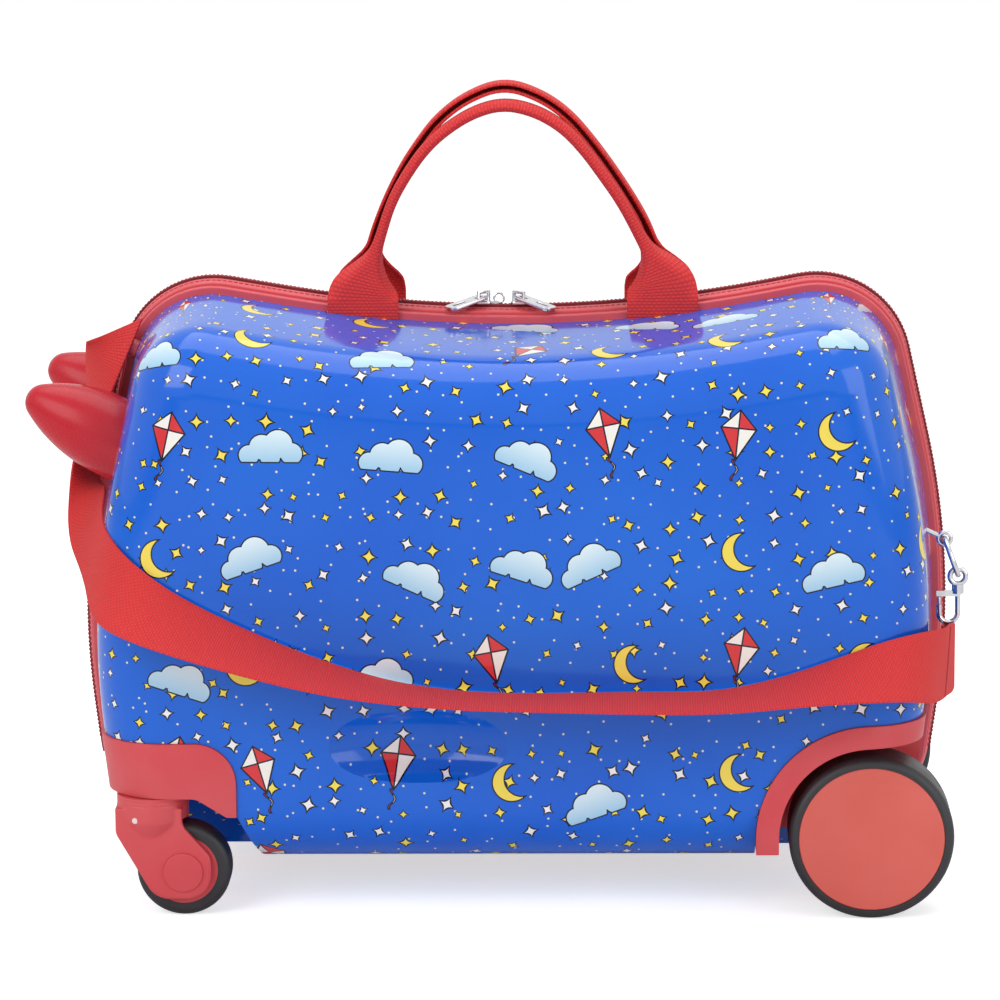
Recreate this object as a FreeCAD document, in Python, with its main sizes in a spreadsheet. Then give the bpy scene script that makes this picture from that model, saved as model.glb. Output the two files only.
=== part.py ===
import FreeCAD, Part
import math
import os
import Sketcher
from types import SimpleNamespace
from FreeCAD import Placement, Rotation, Vector

# A ride-on suitcase: two moulded half shells that meet at a zip and swing on a hinge underneath,
# two grip horns in front, two swivel casters, two large rear wheels and a tow strap.
# +Z is up, the horns look along -X, and the left half lies towards -Y.

doc = FreeCAD.newDocument("ride_on_suitcase")
sheet = doc.addObject("Spreadsheet::Sheet", "Size")

SIZES = {
    # Side outline of the zip rails: corner points, each rounded off by an arc
    "front_reach": 229, "rear_reach": 252, "belly_height": 165, "belly_round": 420,
    "front_shoulder_back": 39, "rear_shoulder_back": 38,
    "front_shoulder_height": 336, "rear_shoulder_height": 337, "shoulder_round": 52,
    "saddle_x": 18, "saddle_height": 300,
    "front_foot_back": 17, "rear_foot_back": 21, "rail_bottom": 18, "foot_round": 58,
    # Half shell and its cloth lining
    "half_width": 115, "seam_offset": 17, "shell_inset": 8.5, "shell_wall": 2.5, "edge_round": 34,
    "wall_lean": 9, "base_sink": 4.5, "lining_gap": 4, "lining_wall": 1,
    # Foot rest pressed into each side
    "rest_back": 38, "rest_height": 94, "rest_length": 94, "rest_depth": 13, "rest_round": 21,
    # Zip rail: a low bead, a groove and a high bead that falls away from the zip
    "rail_depth": 16, "low_bead_inset": 4.6, "low_bead_width": 5.5, "groove_inset": 6,
    "groove_width": 1.5, "high_bead_inset": 1.4, "high_bead_fall": 2, "bead_round": 0.8,
    "tape_offset": 3.6,
    # Zip tape with its coil
    "tape_gap": 0.15, "tape_inset": 2.4, "tape_depth": 3, "coil_inset": 0.6, "coil_width": 1.9,
    "zip_end_height": 64,
    # Hinge underneath
    "hinge_length": 200, "hinge_rise": 3.6, "knuckle_radius": 2.2, "hinge_pin_radius": 1.3,
    "leaf_thickness": 1, "leaf_height": 13, "knuckle_gap": 0.3, "run_gap": 0.05,
    # Rear wheels
    "wheel_back": 52, "wheel_radius": 43.5, "wheel_proud": 1, "wheel_width": 34, "rim_radius": 38.5,
    "tyre_round": 4.5, "rim_wall": 4, "disc_wall": 5, "hub_radius": 10, "axle_radius": 4,
    "axle_end_gap": 0.3, "boss_radius": 12, "boss_length": 20, "spacer_gap": 0.3, "spacer_wall": 3,
    "disc_round": 1,
    # Wheel arch: a housing let into the shell
    "arch_radius": 61, "arch_band": 12, "arch_foot_height": 35, "well_in": 59,
    "housing_wall": 3, "trim_proud": 1.5, "fit_gap": 0.2, "skirt_drop": 160,
    # Caster bracket: a corner guard let into the shell
    "bracket_length": 95, "bracket_top": 96, "bracket_round": 22, "caster_well_in": 67,
    "plate_bottom": 66, "plate_thickness": 4, "foot_bottom": 56, "foot_width": 5.5, "foot_slope": 16,
    "foot_round_inner": 10, "guard_wall": 3.5, "well_flare": 13.5, "well_flare_drop": 29,
    # Swivel caster
    "caster_back": 49, "caster_in": 18, "caster_trail": 16.5, "caster_radius": 25, "caster_width": 18,
    "caster_rim_radius": 18, "caster_tyre_round": 4, "fork_radius": 19, "fork_collar_height": 6,
    "collar_groove": 1, "collar_groove_depth": 1.2, "crown_gap": 2.5, "arm_thickness": 4,
    "arm_gap": 1, "arm_end": 15, "arm_end_round": 13.5, "arm_bend": 33, "arm_bend_round": 8,
    "neck": 16.5, "neck_height": 50, "heel_height": 46, "heel_round": 6, "crown_flare": 9,
    "king_pin_radius": 4, "king_head_radius": 8,
    "king_head_height": 3, "king_gap": 0.3, "caster_axle_radius": 3, "cap_radius": 10.5,
    "cap_height": 1.2, "cap_round": 0.5, "rivet_radius": 1.6, "rivet_back": 8, "rivet_drop": 12,
    # Grip horns
    "horn_side": 52, "horn_back": 26, "horn_z": 249.5, "horn_tilt": 27, "horn_radius": 21.5,
    "horn_length": 49, "horn_nose": 10, "horn_root": 20,
    "horn_screw_radius": 3, "horn_screw_depth": 14, "horn_washer_radius": 9, "horn_washer": 2,
    # Webbing carry handles
    "handle_x": 10, "handle_span": 160, "handle_top": 424, "web_width": 38, "web_thickness": 2.6,
    "tab_top": 316, "tab_drop": 14, "handle_gap": 0.3, "handle_grip": 9, "handle_roll": 16,
    "handle_side": 10, "tab_gap": 0.3,
    # Zip sliders and pulls
    "front_slider_x": 5, "rear_slider_x": 14.2, "slider_length": 9, "slider_width": 7,
    "slider_height": 1.8, "slider_gap": 0.3, "slider_round": 1, "slider_corner": 2.6, "lug_width": 3,
    "lug_length": 5, "pull_length": 24, "pull_width": 9.5, "pull_thickness": 1.6,
    "pull_corner": 3.2, "pull_slot_start": 12, "pull_slot_length": 8, "pull_slot_width": 2.4,
    "pull_eye_gap": 0.1, "pull_gap": 1, "pull_turn": 36, "pull_droop": 12,
    "lock_ring_radius": 2.6, "lock_ring_wire": 0.65,
    # Tow strap, its front post, its rear ring and its snap hook
    "strap_width": 38, "strap_thickness": 1.8, "ring_radius": 10.5, "ring_wire": 1.5,
    "ring_back": 6.7, "ring_z": 180, "ring_side": 42, "ring_tilt": 20,
    "post_radius": 5, "post_side": 23, "post_rise": 20, "post_height": 6.4,
    "eyelet_radius": 3.4, "eyelet_wire": 1.3, "eyelet_stem": 9,
    "hook_wire": 1.5, "hook_eye_radius": 4.2, "hook_barrel_radius": 3.2, "hook_barrel_height": 5,
    "hook_bow_radius": 5, "hook_shank": 11, "hook_tip": 5, "hook_bar": 36, "gate_radius": 1, "gate_gap": 0.3,
    # Screws that hold the arches and brackets
    "screw_radius": 2, "screw_head_radius": 4, "screw_head_height": 2.2, "screw_poke": 2,
    "screw_gap": 0.1,
    # One overrun for every cut
    "overrun": 20,
}

# Where the fittings sit: each is measured from the end or the side of the case
PLACES = {
    "wheel_x": "=rear_reach - wheel_back", "ring_x": "=rear_reach - ring_back",
    "horn_x": "=front_reach - horn_back", "caster_x": "=front_reach - caster_back",
    "bracket_reach": "=front_reach - bracket_length", "caster_side": "=half_width - caster_in",
    "caster_well_depth": "=half_width - caster_well_in", "well_depth": "=half_width - well_in",
    "wheel_inner": "=half_width + wheel_proud - wheel_width",
}
CELLS = {**SIZES, **PLACES}

for row, (alias, value) in enumerate(CELLS.items(), 1):
    sheet.set(f"A{row}", alias)
    sheet.setAlias(f"B{row}", alias)
    sheet.set(f"B{row}", str(value))
doc.recompute()
size = SimpleNamespace(**{alias: float(sheet.get(alias)) for alias in CELLS})

OUT = Vector(0, -1, 0)
X_AXIS, Y_AXIS, Z_AXIS = Vector(1, 0, 0), Vector(0, 1, 0), Vector(0, 0, 1)
TO_LEFT = Rotation(X_AXIS, 90)
NEAR = 1e-4
# Share of the shorter run beside the saddle that its arc takes up
SADDLE_SHARE = 0.655


def bind(item, **formulas):
    """Ties properties of a document object to cells of the sheet."""
    for name, text in formulas.items():
        item.setExpression(name, text)
    return item


def place(item, x="0", y="0", z="0", turn=None):
    """Sets an object's turn and ties its place to the sheet."""
    if turn:
        item.Placement = Placement(Vector(), turn)
    for axis, text in (("x", x), ("y", y), ("z", z)):
        item.setExpression("Placement.Base." + axis, text)
    return item


def cylinder(name, radius, height, x, y, z, turn=None):
    item = bind(doc.addObject("Part::Cylinder", name), Radius=radius, Height=height)
    return place(item, x, y, z, turn)


def box(name, length, width, height, x, y, z):
    item = bind(doc.addObject("Part::Box", name), Length=length, Width=width, Height=height)
    return place(item, x, y, z)


def fused(name, pieces):
    item = doc.addObject("Part::MultiFuse", name)
    item.Shapes = pieces
    return item


def cut(name, base, tool):
    item = doc.addObject("Part::Cut", name)
    item.Base, item.Tool = base, tool
    return item


def solid(name, shape):
    """A sub-part whose shape comes straight from Part's own functions."""
    item = doc.addObject("Part::Feature", name)
    item.Shape = shape
    return item


def profile(body, corners):
    """Closed sketch on the body's XZ plane; each corner is a pair of sheet formulas."""
    sketch = body.newObject("Sketcher::SketchObject", body.Name + "_profile")
    plane = [item for item in body.Origin.OriginFeatures if item.Role == "XZ_Plane"][0]
    sketch.AttachmentSupport = (plane, "")
    sketch.MapMode = "FlatFace"
    spots = [Vector(float(sheet.evalExpression(u)), float(sheet.evalExpression(v)), 0) for u, v in corners]
    for number, spot in enumerate(spots):
        sketch.addGeometry(Part.LineSegment(spot, spots[(number + 1) % len(spots)]), False)
    for number in range(len(spots)):
        sketch.addConstraint(Sketcher.Constraint("Coincident", number, 2, (number + 1) % len(spots), 1))
    for number, pair in enumerate(corners):
        for kind, text, value in zip(("DistanceX", "DistanceY"), pair, (spots[number].x, spots[number].y)):
            index = sketch.addConstraint(Sketcher.Constraint(kind, number, 1, value))
            sketch.setExpression(f"Constraints[{index}]", text)
    return sketch


def turned(name, corners, x, y, z, turn=TO_LEFT, rounds=()):
    """Body turned about its own Z axis; rounds are (radius, height, fillet) formulas of rims."""
    body = doc.addObject("PartDesign::Body", name)
    sketch = profile(body, corners)
    lathe = body.newObject("PartDesign::Revolution", name + "_turn")
    lathe.Profile = sketch
    lathe.ReferenceAxis = (sketch, ["V_Axis"])
    lathe.Angle = 360
    doc.recompute()
    last = lathe
    for number, (radius, height, fillet) in enumerate(rounds):
        wide, high = float(sheet.evalExpression(radius)), float(sheet.evalExpression(height))
        rims = []
        for index, edge in enumerate(last.Shape.Edges, 1):
            circle = edge.Curve
            if isinstance(circle, Part.Circle) and abs(circle.Radius - wide) < NEAR:
                if abs(circle.Center.z - high) < NEAR:
                    rims.append(f"Edge{index}")
        soft = body.newObject("PartDesign::Fillet", f"{name}_round{number}")
        soft.Base = (last, rims)
        bind(soft, Radius=fillet)
        doc.recompute()
        last = soft
    body.Tip = last
    return place(body, x, y, z, turn)


def rounded_wire(corners, inset=0, y=0):
    """Closed wire in the XZ plane: straight runs joined by tangent arcs.

    corners are (x, z, radius), counter-clockwise seen from -Y; inset moves the wire inwards."""
    count = len(corners)
    spots = [Vector(x, 0, z) for x, z, radius in corners]
    runs = [(spots[(i + 1) % count] - spots[i]).normalize() for i in range(count)]
    moved, bends = [], []
    for i in range(count):
        before, after = runs[i - 1], runs[i]
        inward = Vector(-before.z, 0, before.x), Vector(-after.z, 0, after.x)
        half = (inward[0] + inward[1]).normalize()
        moved.append(spots[i] + half * (inset / half.dot(inward[0])))
        left_turn = before.x * after.z - before.z * after.x > 0
        radius = corners[i][2]
        bends.append(0 if radius == 0 else radius - inset if left_turn else radius + inset)
    edges, ends = [], []
    for i in range(count):
        before, after = runs[i - 1], runs[i]
        turn = before.getAngle(after)
        reach = bends[i] * math.tan(turn / 2)
        start, stop = moved[i] - before * reach, moved[i] + after * reach
        to_centre = (after - before).normalize()
        middle = moved[i] + to_centre * (bends[i] / math.cos(turn / 2) - bends[i])
        ends.append((start, middle, stop))
    lift = Vector(0, y, 0)
    for i in range(count):
        start, middle, stop = ends[i]
        if bends[i] > 0:
            edges.append(Part.Arc(start + lift, middle + lift, stop + lift).toShape())
        following = ends[(i + 1) % count][0]
        if (following - stop).Length > NEAR:
            edges.append(Part.LineSegment(stop + lift, following + lift).toShape())
    return Part.Wire(edges)


def slab(corners, inset, near, far):
    """Prism of a rounded outline between two distances out from the middle, on the left side."""
    face = Part.Face(rounded_wire(corners, inset, -near))
    return face.extrude(OUT * (far - near))


def tapered(corners, near, near_inset, far, far_inset):
    """Solid between two rounded outlines that lie at two distances out from the middle."""
    wires = [rounded_wire(corners, inset, -y) for y, inset in ((near, near_inset), (far, far_inset))]
    return Part.makeLoft(wires, True, True)


def saddle_round():
    """Radius of the saddle's arc, which takes up a share of the shorter run beside it."""
    spot = Vector(size.saddle_x, 0, size.saddle_height)
    front = Vector(size.front_shoulder_back - size.front_reach, 0, size.front_shoulder_height)
    rear = Vector(size.rear_reach - size.rear_shoulder_back, 0, size.rear_shoulder_height)
    run_in, run_out = spot - rear, front - spot
    return SADDLE_SHARE * min(run_in.Length, run_out.Length) / math.tan(run_in.getAngle(run_out) / 2)


def case_corners(sunk=0):
    """Corners of the rail outline; sunk carries the two ends straight on below the base."""
    front, rear = -size.front_reach, size.rear_reach
    belly, base = size.belly_height, size.rail_bottom
    reach = (belly - base + sunk) / (belly - base)
    return [
        (front + size.front_foot_back * reach, base - sunk, size.foot_round),
        (rear - size.rear_foot_back * reach, base - sunk, size.foot_round),
        (rear, belly, size.belly_round),
        (rear - size.rear_shoulder_back, size.rear_shoulder_height, size.shoulder_round),
        (size.saddle_x, size.saddle_height, saddle_round()),
        (front + size.front_shoulder_back, size.front_shoulder_height, size.shoulder_round),
        (front, belly, size.belly_round),
    ]


def leaned(inset, y):
    """Inset of a wall at a distance out from the middle: the moulded walls lean in past the seam."""
    return inset + size.wall_lean * (y - size.seam_offset) / (size.half_width - size.seam_offset)


def dome(inset, near, far, edge_round, sunk=0):
    """Solid half: the outline carried out to the side face, with the outer rim rounded."""
    corners = case_corners(size.base_sink + sunk)
    block = tapered(corners, near, leaned(inset, near), far, leaned(inset, far))
    rim = [edge for edge in block.Edges if all(abs(spot.Y + far) < NEAR for spot in edge.Vertexes)]
    return block.makeFillet(edge_round, rim)


def arch_corners(foot):
    """Wheel arch outline: a straight front leg, a quarter round and a straight run to the rear."""
    front, top = size.wheel_x - size.arch_radius, size.wheel_radius + size.arch_radius
    rear = size.rear_reach + size.overrun
    return [(front, foot, 0), (rear, foot, 0), (rear, top, 0), (front, top, size.arch_radius - NEAR)]


def guard_corners(foot):
    """Room inside the caster's guard: open to the front, with one rounded upper corner."""
    front = -size.front_reach - size.overrun
    return [
        (front, foot, 0), (-size.bracket_reach, foot, 0),
        (-size.bracket_reach, size.bracket_top, size.bracket_round), (front, size.bracket_top, 0),
    ]


def well_corners(foot):
    """Hollow over the caster: the guard's outline, which flares to the rear below the guard's foot."""
    front, back = -size.front_reach - size.overrun, -size.bracket_reach
    flare = (size.foot_bottom - foot) * size.well_flare / size.well_flare_drop
    return [
        (front, foot, 0), (back + flare, foot, 0), (back, size.foot_bottom, 0),
        (back, size.bracket_top, size.bracket_round), (front, size.bracket_top, 0),
    ]


def foot_rest(grown):
    """Lens-shaped hollow: a ring that dips into the side face, grown by the wall inside."""
    outer = (size.rest_length ** 2 / 4 + size.rest_depth ** 2) / (2 * size.rest_depth)
    centre = Vector(-size.rest_back, -size.half_width + size.rest_depth - outer, size.rest_height)
    return Part.makeTorus(outer - size.rest_round, size.rest_round + grown, centre, Z_AXIS)


def hollows(grown):
    """What the wheel arch, the caster and the foot rest take out of a half, grown by a wall."""
    far = size.half_width + size.overrun
    below = -size.overrun
    return [
        slab(arch_corners(below), -grown, size.well_depth - grown, far),
        slab(well_corners(below), -grown, size.caster_well_depth - grown, far),
        foot_rest(grown),
    ]


def tray(skin, wall):
    """Open tray that lies a skin inside the shell's outer face and is wall thick."""
    near, far = size.seam_offset, size.half_width
    inset = size.shell_inset + skin
    outer = dome(inset, near, far - skin, size.edge_round - skin)
    inner = dome(inset + wall, near - size.overrun, far - skin - wall, size.edge_round - skin - wall)
    for hollow in hollows(skin):
        outer = outer.cut(hollow)
    for hollow in hollows(skin + wall):
        inner = inner.cut(hollow)
    return outer.cut(inner)


def horn_axis():
    """Foot and direction of the left horn."""
    tilt = math.radians(size.horn_tilt)
    return Vector(-size.horn_x, -size.horn_side, size.horn_z), Vector(-math.cos(tilt), 0, math.sin(tilt))


def screw_spots():
    """Places, in X and Z, of the screws through each wheel housing's back wall."""
    reach = size.boss_radius + 2 * size.screw_head_radius
    centre_x, centre_z = size.wheel_x, size.wheel_radius
    return [(centre_x - reach, centre_z), (centre_x, centre_z + reach), (centre_x + reach, centre_z)]


def screw_hole(radius, near, far):
    pegs = [Part.makeCylinder(radius, far - near, Vector(x, -near, z), OUT) for x, z in screw_spots()]
    return pegs[0].fuse(pegs[1:])


def make_shell():
    foot, along = horn_axis()
    bore = size.horn_screw_radius + size.screw_gap
    shell = tray(0, size.shell_wall)
    shell = shell.cut(Part.makeCylinder(bore, 2 * size.overrun, foot - along * size.overrun, along))
    near = size.well_depth - size.overrun
    return shell.cut(screw_hole(size.screw_radius + size.screw_gap, near, size.half_width))


def make_lining():
    foot, along = horn_axis()
    clear = size.horn_washer_radius + size.lining_wall
    lining = tray(size.shell_wall + size.lining_gap, size.lining_wall)
    hole = Part.makeCylinder(clear, 2 * size.overrun, foot - along * 2 * size.overrun, along)
    return lining.cut(hole)


def ring(outer, inner, near, far, soft=0, fall=0):
    """Hoop that follows the case outline between two insets, with its outer rims rounded.

    fall is how much its outer face sinks on the way out from the middle."""
    hoop = slab(case_corners(), outer, near, far)
    if fall:
        hoop = tapered(case_corners(), near, outer, far, outer + fall)
    if soft:
        rims = []
        for edge in hoop.Edges:
            flat = [all(abs(spot.Y + side) < NEAR for spot in edge.Vertexes) for side in (near, far)]
            if any(flat):
                rims.append(edge)
        hoop = hoop.makeFillet(soft, rims)
    return hoop.cut(slab(case_corners(), inner, near - size.overrun, far + size.overrun))


def make_rail():
    low = size.seam_offset - size.low_bead_width
    groove = low - size.groove_width
    beads = [
        ring(size.low_bead_inset, size.rail_depth, low, size.seam_offset, size.bead_round),
        ring(size.groove_inset, size.rail_depth, groove, low),
        ring(size.high_bead_inset, size.rail_depth, size.tape_offset, groove, size.bead_round,
             size.high_bead_fall),
    ]
    return beads[0].fuse(beads[1:]).removeSplitter()


def make_tape():
    tape = ring(size.tape_inset, size.tape_inset + size.tape_depth, size.tape_gap, size.tape_offset)
    coil_far = size.tape_gap + size.coil_width
    coil = ring(size.coil_inset, size.tape_inset + size.tape_depth, size.tape_gap, coil_far)
    long = size.front_reach + size.rear_reach
    below = Part.makeBox(2 * long, 2 * size.overrun, size.zip_end_height)
    below.translate(Vector(-long, -size.overrun, 0))
    return tape.fuse(coil).cut(below).removeSplitter()


def envelope(proud):
    """Outer face of a half, proud of the shell, carried straight down past the base."""
    inset, far, soft = size.shell_inset - proud, size.half_width + proud, size.edge_round + proud
    return dome(inset, 0, far, soft, size.skirt_drop)


def make_horn():
    """Blunt horn turned about its tilted axis and cut to sit on the shell's front."""
    foot, along = horn_axis()
    wide, long, nose = size.horn_radius, size.horn_length, size.horn_nose
    side = (wide ** 2 + (long - nose) ** 2 - nose ** 2) / (2 * (wide - nose))
    hub, core = Vector(wide - side, 0, 0), Vector(0, 0, long - nose)
    lean = (core - hub).normalize()
    foot_mid, root = Vector(0, 0, -size.horn_root), Vector(wide, 0, -size.horn_root)
    belly, join, tip = Vector(wide, 0, 0), hub + lean * side, Vector(0, 0, long)
    flank, brow = hub + (X_AXIS + lean).normalize() * side, core + (lean + Z_AXIS).normalize() * nose
    edges = [
        Part.LineSegment(foot_mid, root).toShape(),
        Part.LineSegment(root, belly).toShape(),
        Part.Arc(belly, flank, join).toShape(),
        Part.Arc(join, brow, tip).toShape(),
        Part.LineSegment(tip, foot_mid).toShape(),
    ]
    horn = Part.Face(Part.Wire(edges)).revolve(Vector(), Z_AXIS, 360)
    horn.Placement = Placement(foot, Rotation(Z_AXIS, along))
    horn = horn.cut(dome(size.shell_inset, 0, size.half_width, size.edge_round))
    hole = Part.makeCylinder(size.horn_screw_radius, size.horn_screw_depth + size.overrun,
                             foot - along * size.overrun, along)
    return horn.cut(hole)


def make_horn_screw():
    """Screw up the horn's axis, with a washer cut to lie on the inside of the shell."""
    foot, along = horn_axis()
    start = foot - along * size.overrun
    shank = Part.makeCylinder(size.horn_screw_radius, size.overrun + size.horn_screw_depth, start, along)
    washer = Part.makeCylinder(size.horn_washer_radius, size.overrun, start, along)
    rim = size.edge_round - size.shell_wall - size.horn_washer
    inside = dome(size.shell_inset + size.shell_wall, 0, size.half_width, rim)
    deeper = size.shell_inset + size.shell_wall + size.horn_washer
    core = dome(deeper, 0, size.half_width, rim)
    washer = washer.common(inside).cut(core)
    return shank.cut(core).fuse(washer).removeSplitter()


def make_arch():
    """Wheel housing: a band round the wheel, a back wall and a boss for the axle."""
    near, far = size.well_depth + size.fit_gap, size.half_width + size.trim_proud
    fit, foot = size.fit_gap, size.arch_foot_height
    whole = slab(arch_corners(foot), fit, near, far)
    wheel_room = slab(arch_corners(foot - size.overrun), fit + size.arch_band, near + size.housing_wall,
                      far + size.overrun)
    arch = whole.cut(wheel_room).common(envelope(size.trim_proud))
    spot = Vector(size.wheel_x, -near, size.wheel_radius)
    arch = arch.fuse(Part.makeCylinder(size.boss_radius, size.boss_length, spot, OUT))
    arch = arch.cut(Part.makeCylinder(size.axle_radius, size.boss_length + size.overrun, spot, OUT))
    return arch.cut(screw_hole(size.screw_radius + size.screw_gap, size.well_depth, far)).removeSplitter()


def make_arch_screws():
    """Pan-head screws through the housing's back wall into the shell."""
    seat = size.well_depth + size.fit_gap + size.housing_wall
    start = size.well_depth - size.shell_wall - size.screw_poke
    screws = []
    for x, z in screw_spots():
        head = Part.makeCylinder(size.screw_head_radius, size.screw_head_height, Vector(x, -seat, z), OUT)
        shank = Part.makeCylinder(size.screw_radius, seat - start, Vector(x, -start, z), OUT)
        screws.append(head.fuse(shank).removeSplitter())
    return Part.makeCompound(screws)


def make_bracket():
    """Corner guard over the caster: an outer skin, a mounting plate and a foot behind the wheel."""
    fit, top = size.fit_gap, size.bracket_top
    front, back = -size.front_reach - size.overrun, -size.bracket_reach
    toe = back - size.foot_width
    near, far = size.caster_well_depth + fit, size.half_width + size.trim_proud
    corners = [
        (front, size.plate_bottom, 0),
        (toe - size.foot_slope, size.plate_bottom, size.foot_round_inner),
        (toe, size.foot_bottom, 0), (back, size.foot_bottom, 0),
        (back, top, size.bracket_round), (front, top, 0),
    ]
    guard = slab(corners, fit, near, far).common(envelope(size.trim_proud))
    roof = size.plate_bottom + size.plate_thickness
    inset = fit + size.guard_wall
    room = slab(guard_corners(roof - inset), inset, near - size.overrun, far)
    room = room.common(envelope(-size.guard_wall))
    guard = guard.cut(room)
    pin = Part.makeCylinder(size.king_pin_radius, size.overrun,
                            Vector(-size.caster_x, -size.caster_side, size.foot_bottom))
    return guard.cut(pin).removeSplitter()


def make_fork():
    """Swivel fork: a grooved collar, a crown and two arms that taper to the axle."""
    pin_x, axle_x, side = -size.caster_x, -size.caster_x + size.caster_trail, size.caster_side
    top = size.plate_bottom - size.king_gap
    shelf = top - size.fork_collar_height
    crown_low = 2 * size.caster_radius + size.crown_gap
    half = size.caster_width / 2 + size.arm_gap + size.arm_thickness
    wide, end, soft = size.fork_radius, size.arm_end, size.arm_end_round
    corners = [
        (axle_x - end, size.caster_radius - end, soft),
        (axle_x + end, size.caster_radius - end, soft),
        (axle_x + end, size.arm_bend, size.arm_bend_round),
        (pin_x + size.neck, size.neck_height, size.arm_bend_round),
        (pin_x + size.neck, shelf, 0), (pin_x - wide, shelf, 0),
        (pin_x - wide, size.heel_height, size.heel_round),
    ]
    cheek = slab(corners, 0, side - half, side + half)
    fore, aft = pin_x - wide - size.overrun, axle_x + end + size.overrun
    slot = slab([(fore, 0, 0), (aft, 0, 0), (aft, crown_low, 0), (fore, crown_low, 0)], 0,
                side - half + size.arm_thickness, side + half - size.arm_thickness)
    centre = Vector(pin_x, -side, shelf)
    collar = Part.makeCylinder(wide, size.fork_collar_height, centre)
    groove_step = size.fork_collar_height / 3
    for number in (1, 2):
        low = centre + Z_AXIS * (number * groove_step - size.collar_groove / 2)
        notch = Part.makeCylinder(wide + size.overrun, size.collar_groove, low)
        notch = notch.cut(Part.makeCylinder(wide - size.collar_groove_depth, size.collar_groove, low))
        collar = collar.cut(notch)
    crown_foot = Vector(pin_x, -side, crown_low - size.crown_flare)
    crown = Part.makeCone(half, wide, size.crown_flare, crown_foot)
    crown = crown.fuse(Part.makeCylinder(wide, shelf - crown_low, Vector(pin_x, -side, crown_low)))
    fork = cheek.fuse(crown).cut(slot).fuse(collar)
    bore = size.king_pin_radius + size.run_gap
    fork = fork.cut(Part.makeCylinder(bore, size.overrun, Vector(pin_x, -side, crown_low - size.crown_gap)))
    start = Vector(axle_x, half - side, size.caster_radius)
    axle = Part.makeCylinder(size.caster_axle_radius, 2 * half, start, OUT)
    x, z = rivet_spot()
    rivet = Part.makeCylinder(size.rivet_radius, 2 * half, Vector(x, half - side, z), OUT)
    return fork.cut(axle).cut(rivet).removeSplitter()


def rivet_spot():
    """Place, in X and Z, of the stop rivet across the fork's crown."""
    return -size.caster_x - size.rivet_back, size.plate_bottom - size.rivet_drop


def make_strap():
    """Flat webbing that hangs from the front post, turns round the corner and lies along the side.

    Its front end is cut askew, the other sections stand square to the route."""
    sections = []
    count = len(STRAP_ROUTE)
    for number, (spot, lean) in enumerate(zip(STRAP_ROUTE, STRAP_LEAN)):
        before, after = STRAP_ROUTE[max(number - 1, 0)], STRAP_ROUTE[min(number + 1, count - 1)]
        along = (Vector(*after) - Vector(*before)).normalize()
        across = Vector(*lean)
        if number > 0:
            across = across - along * across.dot(along)
        across = across.normalize() * (size.strap_width / 2)
        deep = along.cross(across).normalize() * (size.strap_thickness / 2)
        centre = Vector(*spot)
        upper, lower = centre - across, centre + across
        rim = [lower + deep, upper + deep, upper - deep, lower - deep]
        sections.append(Part.makePolygon(rim + rim[:1]))
    return Part.makeLoft(sections, True, True)


def make_handle():
    """Webbing grip: flat where it is sewn in, rolled to a narrow band over the top."""
    half, top, base = size.handle_span / 2, size.handle_top, size.tab_top + size.handle_gap
    rise = top - base
    tab_side = size.seam_offset + size.tab_gap + size.web_thickness / 2
    sections = []
    for along_share, rise_share, wide_share, deep_share in HANDLE_SHARES:
        wide = size.handle_grip + (size.web_width - size.handle_grip) * wide_share
        deep = size.web_thickness + (size.handle_roll - size.web_thickness) * deep_share
        side = tab_side + (size.handle_side - tab_side) * deep_share
        sections.append((along_share * half, base + rise * rise_share, wide, deep, side))
    loops = sections + [(-x, z, wide, deep, side) for x, z, wide, deep, side in reversed(sections[:-1])]
    spots = [Vector(size.handle_x + x, 0, z) for x, z, *rest in loops]
    wires = []
    for number, (x, z, wide, deep, side) in enumerate(loops):
        along = spots[min(number + 1, len(spots) - 1)] - spots[max(number - 1, 0)]
        if number in (0, len(loops) - 1):
            along = Z_AXIS if number == 0 else Z_AXIS * -1
        across = Vector(along.z, 0, -along.x).normalize() * (wide / 2)
        out = OUT * (deep / 2)
        centre = spots[number] + OUT * side
        rim = [centre + across + out, centre - across + out, centre - across - out, centre + across - out]
        wires.append(Part.makePolygon(rim + rim[:1]))
    return Part.makeLoft(wires, True, True)


def make_tabs():
    """The two sewn ends of a carry handle, standing on the shell beside the rail."""
    near = size.seam_offset + size.tab_gap
    shell = dome(size.shell_inset, 0, size.half_width, size.edge_round)
    tabs = []
    for way in (-1, 1):
        x = size.handle_x + way * size.handle_span / 2 - size.web_width / 2
        tab = Part.makeBox(size.web_width, size.web_thickness, size.tab_drop)
        tab.translate(Vector(x, -near - size.web_thickness, size.tab_top - size.tab_drop))
        tabs.append(tab.cut(shell))
    return Part.makeCompound(tabs)


def saddle_arc(inset):
    """Centre and radius of the saddle's arc at an inset of the outline."""
    corners = case_corners()
    before, spot, after = (Vector(x, 0, z) for x, z, radius in corners[3:6])
    to, on = (spot - before).normalize(), (after - spot).normalize()
    centre = spot + (on - to).normalize() * (saddle_round() / math.cos(to.getAngle(on) / 2))
    return centre, saddle_round() + inset


def on_saddle(x, inset):
    """Placement of a piece that stands on the saddle at x, square to its arc."""
    centre, radius = saddle_arc(inset)
    lean = math.asin((x - centre.x) / radius)
    spot = centre + Vector(math.sin(lean), 0, -math.cos(lean)) * radius
    return Placement(spot, Rotation(Y_AXIS, -math.degrees(lean)))


def bail_height():
    """Height of a pull's end bar above the seat of its slider."""
    return size.slider_height + size.pull_gap + size.pull_thickness / 2


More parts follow.
